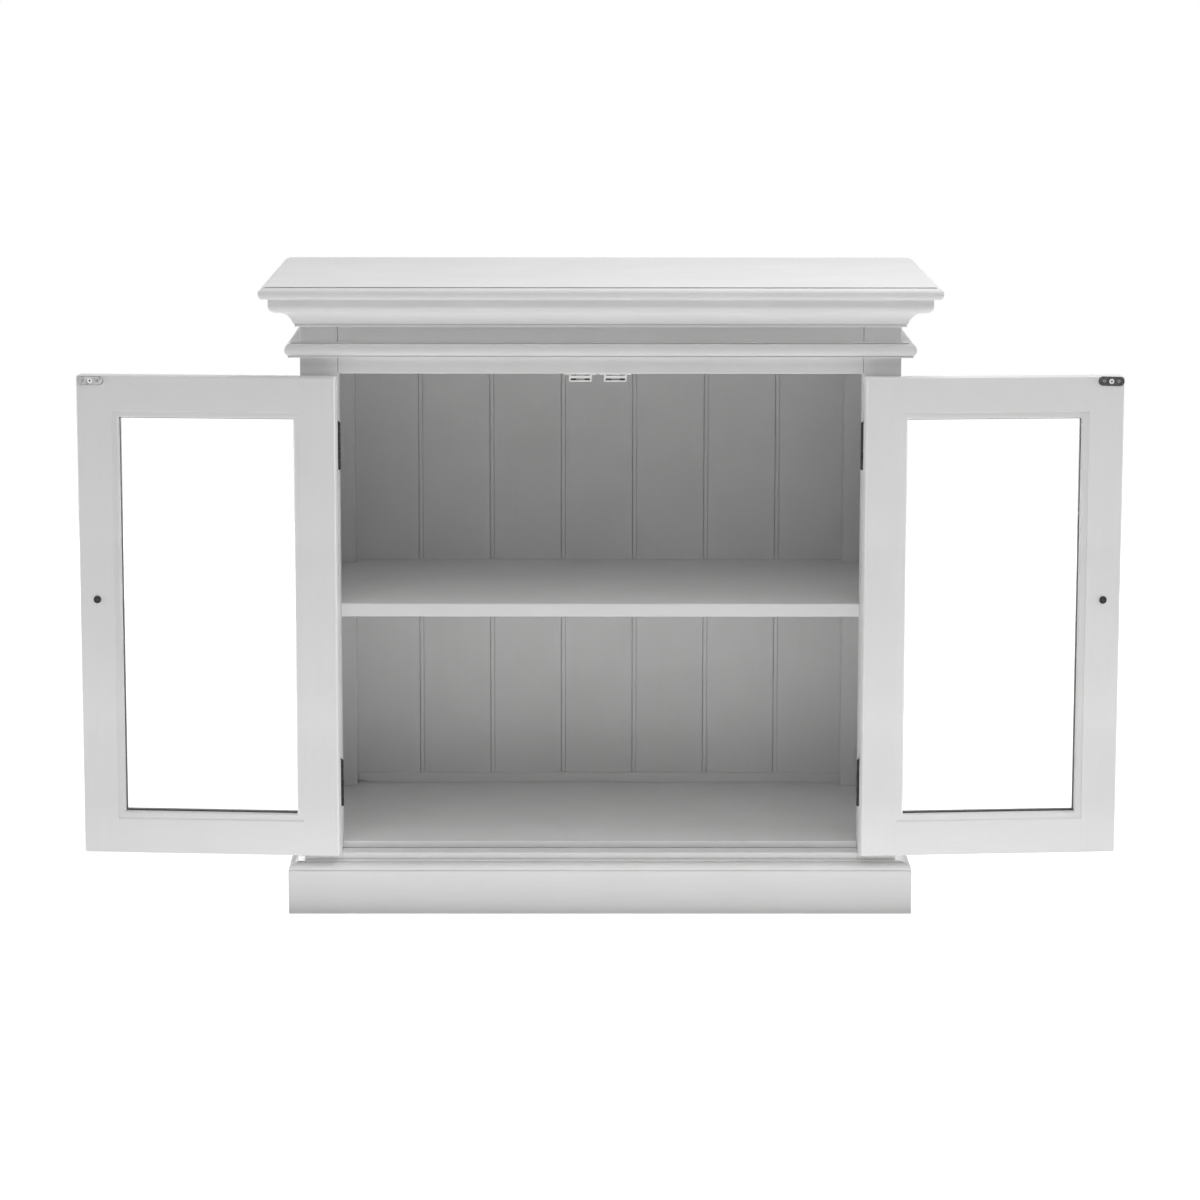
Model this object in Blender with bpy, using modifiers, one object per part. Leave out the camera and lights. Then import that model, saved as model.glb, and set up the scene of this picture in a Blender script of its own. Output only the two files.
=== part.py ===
"""Display buffet: a painted cabinet with two glazed doors, built piece by piece.

Metres, +Z up, the front faces -Y. The origin is on the floor, at the middle of
the width and of the depth. The doors hang open, a little past a half turn.
"""

import math

import bmesh
import bpy
from mathutils import Matrix, Vector

# Joinery clearances and softened edges
fit_gap = 0.0003
arris = 0.0009
door_arris = 0.0018
door_corner = 0.0026
crease_angle = math.radians(32)

# Overall size
overall_width = 0.902
overall_depth = 0.482
overall_height = 0.852

# Top board
top_thickness = 0.017
top_nose = 0.0072
top_quirk = 0.0008
top_step = 0.0012
cornice_overhang = 0.051

# Carcass frame: posts and rails
stile_width = 0.050
frame_depth = 0.045
rear_post_depth = 0.045
side_rail_thickness = 0.020
top_rail_height = 0.102
side_bottom_rail_top = 0.125
rail_ground_clearance = 0.020
tenon_thickness = 0.010
tenon_shoulder = 0.012
tenon_length = 0.018
side_tenon_thickness = 0.008

# Side panels, let into grooves
panel_thickness = 0.008
panel_inset = 0.008
groove_depth = 0.008

# Cornice and waist moulding
cornice_height = 0.039
cornice_reach = 0.0389
cornice_face = 0.0085
cornice_round_reach = 0.0127
cornice_round_height = 0.0103
cornice_upper_round = 0.0010
hollow_reach = 0.0205
hollow_height = 0.0259
cornice_foot_reach = 0.0060
cornice_foot_height = 0.0031
cornice_foot_round = 0.0010
cornice_quirk_height = 0.0008
cornice_quirk_depth = 0.0012
frieze_height = 0.0203
waist_thickness = 0.019
waist_reach = 0.0190
waist_nose = 0.0070
waist_step = 0.0014
waist_quirk = 0.0008
waist_foot_reach = 0.0100
waist_foot_height = 0.0010

# Plinth with its moulded top edge
plinth_height = 0.0708
plinth_reach = 0.0215
plinth_face_height = 0.0603
plinth_ledge = 0.010
plinth_step = 0.0012
sill_height = 0.0095

# Back boards: tongue and groove with a bead at each joint
board_count = 7
board_pitch = 0.1025
board_thickness = 0.010
board_recess = 0.005
board_rebate = 0.015
board_bottom = 0.040
bead_width = 0.0045
bead_depth = 0.0013
quirk_width = 0.0012
tongue_length = 0.005
tongue_thickness = 0.003

# Floor, shelf and what carries them
floor_thickness = 0.0094
floor_housing = 0.006
stop_gap = 0.0025
shelf_top_height = 0.4175
shelf_thickness = 0.0180
shelf_clearance = 0.006
cleat_width = 0.020
cleat_height = 0.022
back_cleat_height = 0.0135
back_cleat_thickness = 0.007

# Doors
door_gap = 0.002
meeting_gap = 0.003
door_thickness = 0.024
door_stile_width = 0.047
door_top_rail = 0.047
door_bottom_rail = 0.052
rebate_width = 0.010
lip_thickness = 0.010
glass_thickness = 0.003
glass_margin = 0.0008
glazing_bead_round = 0.002
door_tenon_thickness = 0.007
door_tenon_length = 0.028
door_tenon_shoulder = 0.009
rest_angle = 184.5

# Butt hinges
hinge_height = 0.0635
hinge_from_top = 0.0943
hinge_from_bottom = 0.0954
pin_offset = 0.004
pin_radius = 0.0009
pin_clearance = 0.0002
knuckle_radius = 0.0024
knuckle_count = 5
knuckle_gap = 0.0003
leaf_thickness = 0.0012
leaf_width = 0.0205
hinge_sides = 24

# Knob, strike plate and magnetic catch
knob_height = 0.429
knob_length = 0.025
knob_radius = 0.0125
knob_neck_radius = 0.0055
knob_rose_radius = 0.0085
knob_rose_height = 0.0028
knob_rose_edge = 0.0012
knob_neck_foot = 0.0048
knob_head_share = 0.64
knob_bore_radius = 0.0019
knob_bore_depth = 0.014
screw_hole_radius = 0.0024
knob_sides = 24
strike_length = 0.0356
strike_width = 0.0124
strike_thickness = 0.0011
strike_inset = 0.0006
strike_hole_radius = 0.0021
catch_length = 0.0306
catch_height = 0.0137
catch_depth = 0.0150
catch_centre = -0.0037
catch_spacing = 0.0467
catch_ear_length = 0.0450
catch_ear_depth = 0.0105
catch_ear_thickness = 0.0042
catch_ear_rise = 0.0004
catch_slot_height = 0.0018
catch_slot_depth = 0.0030
catch_slot_margin = 0.0022
catch_slot_rise = 0.0034

# Lines that several pieces share
body_half = overall_width / 2 - cornice_overhang
front_y = -overall_depth / 2 + cornice_overhang
back_y = overall_depth / 2
frame_back = front_y + frame_depth
opening_half = body_half - stile_width
rear_post_front = back_y - rear_post_depth
frame_top = overall_height - top_thickness - fit_gap
opening_top = frame_top - top_rail_height
sill_z = plinth_height + sill_height
cornice_bottom = frame_top - cornice_height
waist_top = cornice_bottom - frieze_height
board_back = back_y - board_recess
board_face = board_back - board_thickness
floor_top = sill_z + fit_gap + floor_thickness
rail_inner = body_half - side_rail_thickness
board_edge = opening_half + board_rebate - fit_gap
pin_y = front_y - pin_offset
pin_x = opening_half - door_gap / 2
door_bottom = sill_z + door_gap
door_top = opening_top - door_gap
door_edge = opening_half - door_gap
door_free = meeting_gap / 2
door_back = front_y + door_thickness


class Box:
    """An upright block between two corners."""

    def __init__(self, x0, x1, y0, y1, z0, z1):
        self.lo = Vector((min(x0, x1), min(y0, y1), min(z0, z1)))
        self.hi = Vector((max(x0, x1), max(y0, y1), max(z0, z1)))

    def grown(self, gap):
        """The same block with a clearance all round."""
        margin = Vector((gap, gap, gap))
        return Box(*interleave(self.lo - margin, self.hi + margin))


def interleave(lo, hi):
    """Corner vectors as the six numbers that a Box takes."""
    return lo.x, hi.x, lo.y, hi.y, lo.z, hi.z


def clear_scene():
    """Remove the objects and collections that an opened file brings."""
    for existing in list(bpy.data.objects):
        bpy.data.objects.remove(existing, do_unlink=True)
    for group in list(bpy.data.collections):
        bpy.data.collections.remove(group)


def new_collection(name):
    """A collection linked to the scene."""
    group = bpy.data.collections.new(name)
    bpy.context.scene.collection.children.link(group)
    return group


def new_finish(name, colour, roughness, metallic=0.0, transmission=0.0):
    """A Principled finish."""
    material = bpy.data.materials.new(name)
    material.use_nodes = True
    shader = material.node_tree.nodes["Principled BSDF"]
    shader.inputs["Base Color"].default_value = (*colour, 1.0)
    shader.inputs["Roughness"].default_value = roughness
    shader.inputs["Metallic"].default_value = metallic
    shader.inputs["Transmission Weight"].default_value = transmission
    material.diffuse_color = (*colour, 1.0)
    return material


clear_scene()
buffet = new_collection("display_buffet")
cutters = new_collection("cutters")

paint_colour = (0.80, 0.80, 0.79)
iron_colour = (0.035, 0.033, 0.032)
plastic_colour = (0.86, 0.86, 0.84)
zinc_colour = (0.55, 0.56, 0.57)
glass_colour = (0.97, 0.99, 0.98)


def paint(name):
    """White furniture paint for one piece."""
    return new_finish(name + "_paint", paint_colour, 0.42)


def iron(name):
    """Black finished iron for one piece."""
    return new_finish(name + "_iron", iron_colour, 0.45, metallic=0.8)


def zinc(name):
    """Zinc plated steel for one piece."""
    return new_finish(name + "_zinc", zinc_colour, 0.35, metallic=1.0)


def plastic(name):
    """White moulded plastic for one piece."""
    return new_finish(name + "_plastic", plastic_colour, 0.38)


def clear_glass(name):
    """Clear sheet glass for one piece."""
    return new_finish(name + "_glass", glass_colour, 0.03, transmission=1.0)


def place(name, bm, parent, group):
    """Turn a bmesh drawn in closed, upright position into an object."""
    bmesh.ops.recalc_face_normals(bm, faces=bm.faces)
    if parent is not None:
        bmesh.ops.translate(bm, verts=bm.verts, vec=-parent.location)
    mesh = bpy.data.meshes.new(name)
    bm.to_mesh(mesh)
    bm.free()
    mesh.shade_smooth()
    mesh.set_sharp_from_angle(angle=crease_angle)
    item = bpy.data.objects.new(name, mesh)
    group.objects.link(item)
    if parent is not None:
        item.parent = parent
    return item


def piece(name, bm, finish, parent=None):
    """One part of the buffet, in its own material."""
    item = place(name, bm, parent, buffet)
    item.data.materials.append(finish(name))
    return item


def cut(target, name, bm):
    """Cut a shape out of a part."""
    cutter = place(name, bm, target.parent, cutters)
    cutter.hide_render = True
    cutter.display_type = "WIRE"
    recess = target.modifiers.new(name, "BOOLEAN")
    recess.operation = "DIFFERENCE"
    recess.solver = "EXACT"
    recess.object = cutter
    return cutter


def join(target, name, bm):
    """Add a shape to a part as one body with it."""
    addition = place(name, bm, target.parent, cutters)
    addition.hide_render = True
    addition.display_type = "WIRE"
    union = target.modifiers.new(name, "BOOLEAN")
    union.operation = "UNION"
    union.solver = "EXACT"
    union.object = addition
    return addition


def add_block(bm, box):
    """Add a block to a bmesh."""
    size = box.hi - box.lo
    middle = (box.hi + box.lo) / 2
    matrix = Matrix.Translation(middle) @ Matrix.Diagonal((*size, 1.0))
    return bmesh.ops.create_cube(bm, size=1.0, matrix=matrix)["verts"]


def blocks(*boxes):
    """A bmesh of blocks that stand clear of each other."""
    bm = bmesh.new()
    for box in boxes:
        add_block(bm, box)
    return bm


def planed(box, edge=arris, segments=1):
    """A planed timber with softened edges."""
    bm = blocks(box)
    bmesh.ops.bevel(bm, geom=bm.edges[:], offset=edge, affect="EDGES", segments=segments,
                    profile=0.5, material=-1)
    return bm


def add_tenon(bm, axis, sign, tenon):
    """Pull a tenon out of the end face of a planed timber.

    The tenon block gives its cheeks and its length; axis is 0, 1 or 2.
    """
    ends = [face for face in bm.faces if face.normal[axis] * sign > 0.99]
    end = max(ends, key=lambda face: face.calc_area())
    root = end.calc_center_median()[axis]
    bmesh.ops.inset_individual(bm, faces=[end], thickness=fit_gap)
    middle = (tenon.lo + tenon.hi) / 2
    for vert in end.verts:
        for side in range(3):
            if side == axis:
                vert.co[side] = root
            else:
                low = vert.co[side] < middle[side]
                vert.co[side] = tenon.lo[side] if low else tenon.hi[side]
    grown = bmesh.ops.extrude_discrete_faces(bm, faces=[end])["faces"][0]
    tip = tenon.hi[axis] if sign > 0 else tenon.lo[axis]
    for vert in grown.verts:
        vert.co[axis] = tip


def extruded(outline, frame, length):
    """A flat outline pushed along its third axis.

    frame holds the origin, the outline's two axes and the direction of the push.
    """
    origin, across, up, along = frame
    bm = bmesh.new()
    verts = [bm.verts.new(origin + across * u + up * v) for u, v in outline]
    face = bm.faces.new(verts)
    pushed = bmesh.ops.extrude_face_region(bm, geom=[face])["geom"]
    moved = [item for item in pushed if isinstance(item, bmesh.types.BMVert)]
    bmesh.ops.translate(bm, verts=moved, vec=along * length)
    return bm, verts, moved


def arc(centre, radii, start, end, steps):
    """Points of an elliptical arc between two angles in degrees."""
    points = []
    for step in range(steps + 1):
        angle = math.radians(start + (end - start) * step / steps)
        points.append((centre[0] + radii[0] * math.cos(angle),
                       centre[1] + radii[1] * math.sin(angle)))
    return points


def swept_rectangle(levels):
    """A rectangle pulled through a row of levels, open at both ends.

    Each level holds the four corners in the same order. The bmesh comes back
    with the edges of the first and of the last level.
    """
    bm = bmesh.new()
    first_corners = [bm.verts.new(corner) for corner in levels[0]]
    ring = [bm.edges.new((first_corners[i], first_corners[(i + 1) % 4])) for i in range(4)]
    first = ring
    corners = first_corners
    for level in levels[1:]:
        pulled = bmesh.ops.extrude_edge_only(bm, edges=ring)["geom"]
        new_verts = [item for item in pulled if isinstance(item, bmesh.types.BMVert)]
        followers = []
        for corner in corners:
            followers.append(next(edge.other_vert(corner) for edge in corner.link_edges
                                  if edge.other_vert(corner) in new_verts))
        for vert, place_at in zip(followers, level):
            vert.co = place_at
        ring = [edge for edge in bm.edges if all(vert in new_verts for vert in edge.verts)]
        corners = followers
    return bm, first, ring


def mitred_moulding(name, profile, side):
    """A length of moulding planted on the body.

    profile holds (reach from the body, height) points. side is 0 for the front
    length, which is mitred at both ends, and -1 or +1 for a side length, which
    is mitred at the front and square at the back.
    """
    ease = fit_gap * math.sqrt(0.5)
    if side == 0:
        frame = (Vector((-body_half, front_y, 0)), Vector((0, -1, 0)), Vector((0, 0, 1)),
                 Vector((1, 0, 0)))
        bm, first, last = extruded(profile, frame, 2 * body_half)
        for vert in first:
            vert.co.x -= front_y - vert.co.y - ease
        for vert in last:
            vert.co.x += front_y - vert.co.y - ease
    else:
        frame = (Vector((side * body_half, front_y, 0)), Vector((side, 0, 0)),
                 Vector((0, 0, 1)), Vector((0, 1, 0)))
        bm, first, last = extruded(profile, frame, back_y - front_y)
        for vert in first:
            vert.co.y -= abs(vert.co.x) - body_half - ease
    return piece(name, bm, paint)


def cornice_profile():
    """Flat face, a round that runs back under it, a hollow, a quirk and a square foot."""
    face_bottom = frame_top - cornice_face
    meeting = cornice_reach - cornice_round_reach
    hollow_centre = face_bottom - cornice_round_height - hollow_height
    foot_top = cornice_bottom + cornice_foot_height
    hollow_bottom = foot_top + cornice_quirk_height
    first = 180 - math.degrees(math.asin((hollow_bottom - hollow_centre) / hollow_height))
    hollow = arc((meeting + fit_gap, hollow_centre), (hollow_reach, hollow_height), first, 92, 12)
    lower_round = arc((meeting, face_bottom), (cornice_round_reach, cornice_round_height),
                      -88, 0, 9)
    high = cornice_upper_round
    upper_round = arc((cornice_reach - high, frame_top - high), (high, high), 0, 90, 3)
    groove = cornice_foot_reach - cornice_quirk_depth
    foot = arc((cornice_foot_reach - cornice_foot_round, cornice_bottom + cornice_foot_round),
               (cornice_foot_round, cornice_foot_round), -90, 0, 3)
    return ([(fit_gap, cornice_bottom)] + foot
            + [(cornice_foot_reach, foot_top), (groove, foot_top), (groove, hollow_bottom)]
            + hollow + lower_round + upper_round + [(fit_gap, frame_top)])


def waist_profile():
    """Thin slab: a bead nose with a step over it and a small foot under it."""
    low = waist_top - waist_thickness
    bead_bottom = low + waist_foot_height
    bead_top = waist_top - waist_step
    radius = (bead_top - bead_bottom) / 2
    bead = waist_reach - waist_nose
    nose = arc((bead, bead_bottom + radius), (waist_nose, radius), -90, 90, 14)
    wall = bead - waist_quirk
    return ([(fit_gap, low), (waist_foot_reach, low), (waist_foot_reach, bead_bottom)] + nose
            + [(bead, bead_top - waist_quirk), (wall, bead_top - waist_quirk),
               (wall, waist_top - waist_quirk / 2), (wall - waist_quirk / 2, waist_top),
               (fit_gap, waist_top)])


def plinth_profile():
    """Flat board whose top edge has an ovolo under a narrow ledge."""
    low = plinth_face_height + plinth_step
    high = plinth_height - plinth_step
    reach = plinth_reach - plinth_step / 3
    ovolo = arc((plinth_ledge + plinth_step / 2, low),
                (reach - plinth_ledge - plinth_step / 2, high - low), 0, 90, 10)
    return ([(fit_gap, 0.0), (plinth_reach - arris, 0.0), (plinth_reach, arris),
             (plinth_reach, plinth_face_height - arris / 2),
             (plinth_reach - arris / 2, plinth_face_height), (reach, plinth_face_height)]
            + ovolo + [(plinth_ledge, high), (plinth_ledge, plinth_height - arris / 2),
                       (plinth_ledge - arris / 2, plinth_height), (fit_gap, plinth_height)])


def build_top_board():
    """Top board with a bead nose under a small step, on the front and both ends."""
    under = frame_top + fit_gap
    bead_top = overall_height - top_step
    half = (bead_top - under) / 2
    nose = arc((top_nose, under + half), (-top_nose, half), -90, 90, 14)
    wall = top_nose + top_quirk
    quirk = [(top_nose, bead_top - top_quirk), (wall, bead_top - top_quirk),
             (wall, overall_height - top_quirk / 2), (wall + top_quirk / 2, overall_height)]
    bm = bmesh.new()
    rows = []
    for inset, z in nose + quirk:
        reach = overall_width / 2 - inset
        front = -overall_depth / 2 + inset
        rows.append([bm.verts.new((x, y, z)) for x, y in
                     ((-reach, back_y), (-reach, front), (reach, front), (reach, back_y))])
    for low, high in zip(rows, rows[1:]):
        for i in range(3):
            bm.faces.new((low[i], low[i + 1], high[i + 1], high[i]))
    bm.faces.new(rows[0])
    bm.faces.new(rows[-1])
    bm.faces.new([row[0] for row in rows] + [row[3] for row in reversed(rows)])
    return piece("top_board", bm, paint)


def side_name(base, side):
    """The name of a piece that comes in a left and a right."""
    return ("left_" if side < 0 else "right_") + base


def rail_tenon(box, side, length):
    """The tenon block of a rail that runs along X, at one end."""
    middle_y = (box.lo.y + box.hi.y) / 2
    end = box.hi.x if side > 0 else box.lo.x
    return Box(end, end + side * length,
               middle_y - tenon_thickness / 2, middle_y + tenon_thickness / 2,
               box.lo.z + tenon_shoulder, box.hi.z - tenon_shoulder)


def side_rail_tenon(box, forward):
    """The tenon block of a side rail, at its front or its back end."""
    middle_x = (box.lo.x + box.hi.x) / 2
    end = box.lo.y if forward else box.hi.y
    reach = -tenon_length if forward else tenon_length
    return Box(middle_x - side_tenon_thickness / 2, middle_x + side_tenon_thickness / 2,
               end, end + reach,
               box.lo.z + tenon_shoulder, box.hi.z - tenon_shoulder)


def front_rail_boxes():
    """The two front rails, between the stiles."""
    reach = opening_half - fit_gap
    return {
        "front_top_rail": Box(-reach, reach, front_y, frame_back, opening_top, frame_top),
        "front_bottom_rail": Box(-reach, reach, front_y, frame_back,
                                 rail_ground_clearance, sill_z),
    }


def side_rail_boxes(side):
    """The two rails of one side, between the stile and the rear post."""
    x0 = side * rail_inner
    x1 = side * body_half
    y0 = frame_back + fit_gap
    y1 = rear_post_front - fit_gap
    return {
        "side_top_rail": Box(x0, x1, y0, y1, opening_top, frame_top),
        "side_bottom_rail": Box(x0, x1, y0, y1, rail_ground_clearance, side_bottom_rail_top),
    }


def side_panel_box(side):
    """The panel that floats in the grooves of one side."""
    reach = groove_depth - fit_gap
    outer = body_half - panel_inset
    return Box(side * (outer - panel_thickness), side * outer,
               frame_back - reach, rear_post_front + reach,
               side_bottom_rail_top - reach, opening_top + reach)


def notched_outline(front, back, wide):
    """Outline of a board that passes between both pairs of posts."""
    narrow = opening_half - fit_gap
    shoulder = frame_back + fit_gap
    rear = rear_post_front - fit_gap
    half = [(narrow, front), (narrow, shoulder), (wide, shoulder), (wide, rear),
            (narrow, rear), (narrow, back)]
    return half + [(-x, y) for x, y in reversed(half)]


def floor_housing_box(side):
    """The edge of the floor that is let into a side rail."""
    return Box(side * (rail_inner - 2 * fit_gap), side * (rail_inner + floor_housing),
               frame_back + fit_gap, rear_post_front - fit_gap,
               sill_z + fit_gap, floor_top)


def hinge_levels():
    """Heights of the middles of the two hinges on a door."""
    return {"upper": door_top - hinge_from_top, "lower": door_bottom + hinge_from_bottom}


def leaf_pocket(side, level, in_door):
    """The recess that one hinge leaf lies in."""
    edge = pin_x - side_sign(in_door) * door_gap / 2
    depth = leaf_thickness + fit_gap
    return Box(side * (edge + side_sign(in_door) * 2 * fit_gap),
               side * (edge - side_sign(in_door) * depth),
               front_y - 2 * fit_gap, pin_y + leaf_width + fit_gap,
               level - hinge_height / 2 - fit_gap, level + hinge_height / 2 + fit_gap)


def side_sign(in_door):
    """+1 towards the middle of the cabinet for a door leaf, -1 for a frame leaf."""
    return 1 if in_door else -1


def build_front_stile(side):
    """Front corner post: mortises, panel groove and hinge recesses."""
    post = planed(Box(side * opening_half, side * body_half, front_y, frame_back, 0, frame_top))
    name = side_name("front_stile", side)
    stile = piece(name, post, paint)
    mortises = [rail_tenon(box, side, tenon_length).grown(fit_gap)
                for box in front_rail_boxes().values()]
    mortises += [side_rail_tenon(box, True).grown(fit_gap)
                 for box in side_rail_boxes(side).values()]
    cut(stile, name + "_mortises", blocks(*mortises))
    cut(stile, name + "_groove", blocks(side_panel_box(side).grown(fit_gap)))
    pockets = [leaf_pocket(side, level, False) for level in hinge_levels().values()]
    cut(stile, name + "_hinge_pockets", blocks(*pockets))
    return stile


def build_rear_post(side):
    """Rear corner post: side rail mortises, panel groove and a rebate for the boards."""
    post = planed(Box(side * opening_half, side * body_half, rear_post_front, back_y,
                      0, frame_top))
    name = side_name("rear_post", side)
    rear = piece(name, post, paint)
    mortises = [side_rail_tenon(box, False).grown(fit_gap)
                for box in side_rail_boxes(side).values()]
    cut(rear, name + "_mortises", blocks(*mortises))
    cut(rear, name + "_groove", blocks(side_panel_box(side).grown(fit_gap)))
    over = 2 * arris
    rebate = Box(side * (opening_half - over), side * (opening_half + board_rebate),
                 board_face - fit_gap, back_y + over, board_bottom - fit_gap,
                 frame_top + over)
    cut(rear, name + "_rebate", blocks(rebate))
    return rear


def build_rails():
    """Front rails and side rails, tenoned at both ends."""
    for name, box in front_rail_boxes().items():
        rail = planed(box)
        for side in (-1, 1):
            add_tenon(rail, 0, side, rail_tenon(box, side, tenon_length))
        piece(name, rail, paint)
    for side in (-1, 1):
        for base, box in side_rail_boxes(side).items():
            rail = planed(box)
            for forward in (True, False):
                add_tenon(rail, 1, -1 if forward else 1, side_rail_tenon(box, forward))
            name = side_name(base, side)
            made = piece(name, rail, paint)
            cut(made, name + "_groove", blocks(side_panel_box(side).grown(fit_gap)))
            if base == "side_bottom_rail":
                cut(made, name + "_housing", blocks(floor_housing_box(side).grown(fit_gap)))
        panel = blocks(side_panel_box(side))
        piece(side_name("side_panel", side), panel, paint)


def board_profile(left, right, first, last):
    """Section of one back board: tongue on the right, groove and bead on the left."""
    tongue_face = (board_thickness - tongue_thickness) / 2
    tongue_rear = tongue_face + tongue_thickness
    points = []
    if first:
        points += [(left, board_thickness), (left, 0.0)]
    else:
        deep = left + tongue_length + 2 * fit_gap
        points += [(left, board_thickness), (left, tongue_rear + fit_gap),
                   (deep, tongue_rear + fit_gap), (deep, tongue_face - fit_gap),
                   (left, tongue_face - fit_gap)]
        points += [(x, bead_depth - rise) for x, rise in
                   arc((left + bead_width / 2, 0.0), (bead_width / 2, bead_depth), 180, 0, 6)]
        points += [(left + bead_width + quirk_width, bead_depth),
                   (left + bead_width + quirk_width, 0.0)]
    if last:
        points += [(right, 0.0), (right, board_thickness)]
    else:
        edge = right - fit_gap
        points += [(edge, 0.0), (edge, tongue_face), (edge + tongue_length, tongue_face),
                   (edge + tongue_length, tongue_rear), (edge, tongue_rear),
                   (edge, board_thickness)]
    return points


def build_back_boards():
    """Beaded boards, the outer two cut to the rebates of the posts."""
    shift = (bead_width + quirk_width) / 2
    joints = [(index - board_count / 2) * board_pitch - shift for index in range(board_count + 1)]
    joints[0] = -board_edge
    joints[-1] = board_edge
    frame = (Vector((0, board_face, board_bottom)), Vector((1, 0, 0)), Vector((0, 1, 0)),
             Vector((0, 0, 1)))
    for index in range(board_count):
        first = index == 0
        last = index == board_count - 1
        outline = board_profile(joints[index], joints[index + 1], first, last)
        bm, _, _ = extruded(outline, frame, frame_top - board_bottom)
        piece(f"back_board_{index + 1}", bm, paint)


def build_floor_and_shelf():
    """Floor board, shelf, their cleats and the strip along the back."""
    frame_axes = (Vector((1, 0, 0)), Vector((0, 1, 0)), Vector((0, 0, 1)))
    outline = notched_outline(door_back + stop_gap, board_face - fit_gap,
                              rail_inner + floor_housing)
    floor_frame = (Vector((0, 0, sill_z + fit_gap)), *frame_axes)
    bm, _, _ = extruded(outline, floor_frame, floor_thickness)
    piece("floor_board", bm, paint)

    outline = notched_outline(door_back + shelf_clearance, board_face - fit_gap,
                              rail_inner - fit_gap)
    shelf_frame = (Vector((0, 0, shelf_top_height - shelf_thickness)), *frame_axes)
    bm, _, _ = extruded(outline, shelf_frame, shelf_thickness)
    nose = [edge for edge in bm.edges
            if all(abs(vert.co.y - door_back - shelf_clearance) < fit_gap for vert in edge.verts)
            and abs(edge.verts[0].co.z - edge.verts[1].co.z) < fit_gap]
    bmesh.ops.bevel(bm, geom=nose, offset=2 * arris, affect="EDGES", segments=3, profile=0.5,
                    material=-1)
    piece("shelf", bm, paint)

    cleat_top = shelf_top_height - shelf_thickness - fit_gap
    outer = body_half - panel_inset - panel_thickness - fit_gap
    for side in (-1, 1):
        box = Box(side * (outer - cleat_width), side * outer, frame_back + fit_gap,
                  rear_post_front - fit_gap, cleat_top - cleat_height, cleat_top)
        piece(side_name("shelf_cleat", side), planed(box), paint)

    reach = opening_half - fit_gap
    rear = board_face - fit_gap
    strip = Box(-reach, reach, rear - back_cleat_thickness, rear, floor_top + fit_gap,
                floor_top + fit_gap + back_cleat_height)
    piece("back_bottom_cleat", planed(strip), paint)


def build_mouldings():
    """Cornice, waist moulding and plinth, each in three mitred lengths."""
    for base, profile in (("cornice", cornice_profile()), ("waist_moulding", waist_profile()),
                          ("plinth", plinth_profile())):
        mitred_moulding(base + "_front", profile, 0)
        mitred_moulding(base + "_left", profile, -1)
        mitred_moulding(base + "_right", profile, 1)


def build_catch(name, centre):
    """Magnetic catch: a housing with two pole slots, hung by ears under the rail."""
    front = door_back + stop_gap
    top = opening_top - fit_gap
    housing = planed(Box(centre - catch_length / 2, centre + catch_length / 2, front,
                         front + catch_depth, top - catch_height, top - catch_ear_rise),
                     2 * arris, 2)
    catch = piece(name, housing, plastic)
    ear_front = front + catch_depth - catch_ear_depth - 4 * arris
    ears = planed(Box(centre - catch_ear_length / 2, centre + catch_ear_length / 2, ear_front,
                      ear_front + catch_ear_depth, top - catch_ear_thickness, top), arris)
    join(catch, name + "_ears", ears)
    slots = []
    for level in (catch_slot_rise, catch_height - catch_slot_rise):
        middle = top - catch_height + level
        slots.append(Box(centre - catch_length / 2 + catch_slot_margin,
                         centre + catch_length / 2 - catch_slot_margin,
                         front - arris, front + catch_slot_depth,
                         middle - catch_slot_height / 2, middle + catch_slot_height / 2))
    cut(catch, name + "_slots", blocks(*slots))
    return catch


def door_rail_boxes(side):
    """The two rails of a door, at full thickness, lying over the stiles' rebates."""
    x0 = side * (door_free + door_stile_width + fit_gap)
    x1 = side * (door_edge - door_stile_width - fit_gap)
    return {
        "top_rail": Box(x0, x1, front_y, door_back, door_top - door_top_rail, door_top),
        "bottom_rail": Box(x0, x1, front_y, door_back, door_bottom,
                           door_bottom + door_bottom_rail),
    }


def door_tenon(box, side):
    """The tenon at one end of a door rail, behind the glazing lip."""
    middle_y = (front_y + lip_thickness + door_back) / 2
    end = box.hi.x if side > 0 else box.lo.x
    return Box(end, end + side * door_tenon_length,
               middle_y - door_tenon_thickness / 2, middle_y + door_tenon_thickness / 2,
               box.lo.z + door_tenon_shoulder, box.hi.z - door_tenon_shoulder)


def rebated_section(width):
    """Section of a door stile or rail: (across, back from the face) points.

    The full thickness ends at width, and the lip that holds the glass goes on.
    """
    lip = width + rebate_width
    soft = door_arris
    corner_points = arc((soft, soft), (soft, soft), 180, 270, 3)
    far_points = arc((soft, door_thickness - soft), (soft, soft), 90, 180, 3)
    return (corner_points
            + [(lip - arris, 0.0), (lip, arris), (lip, lip_thickness), (width, lip_thickness),
               (width, door_thickness - arris / 2), (width - arris / 2, door_thickness)]
            + far_points)


def corner_waste(edge_x, inward, level, rise):
    """The waste outside a rounded corner of a door, seen from its face."""
    over = 2 * arris
    outline = [(-over, -over), (door_corner, -over)]
    outline += arc((door_corner, door_corner), (door_corner, door_corner), 270, 180, 4)
    outline += [(-over, door_corner)]
    frame = (Vector((edge_x, front_y - over, level)), inward, Vector((0, 0, rise)),
             Vector((0, 1, 0)))
    bm, _, _ = extruded(outline, frame, door_thickness + 2 * over)
    return bm


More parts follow.
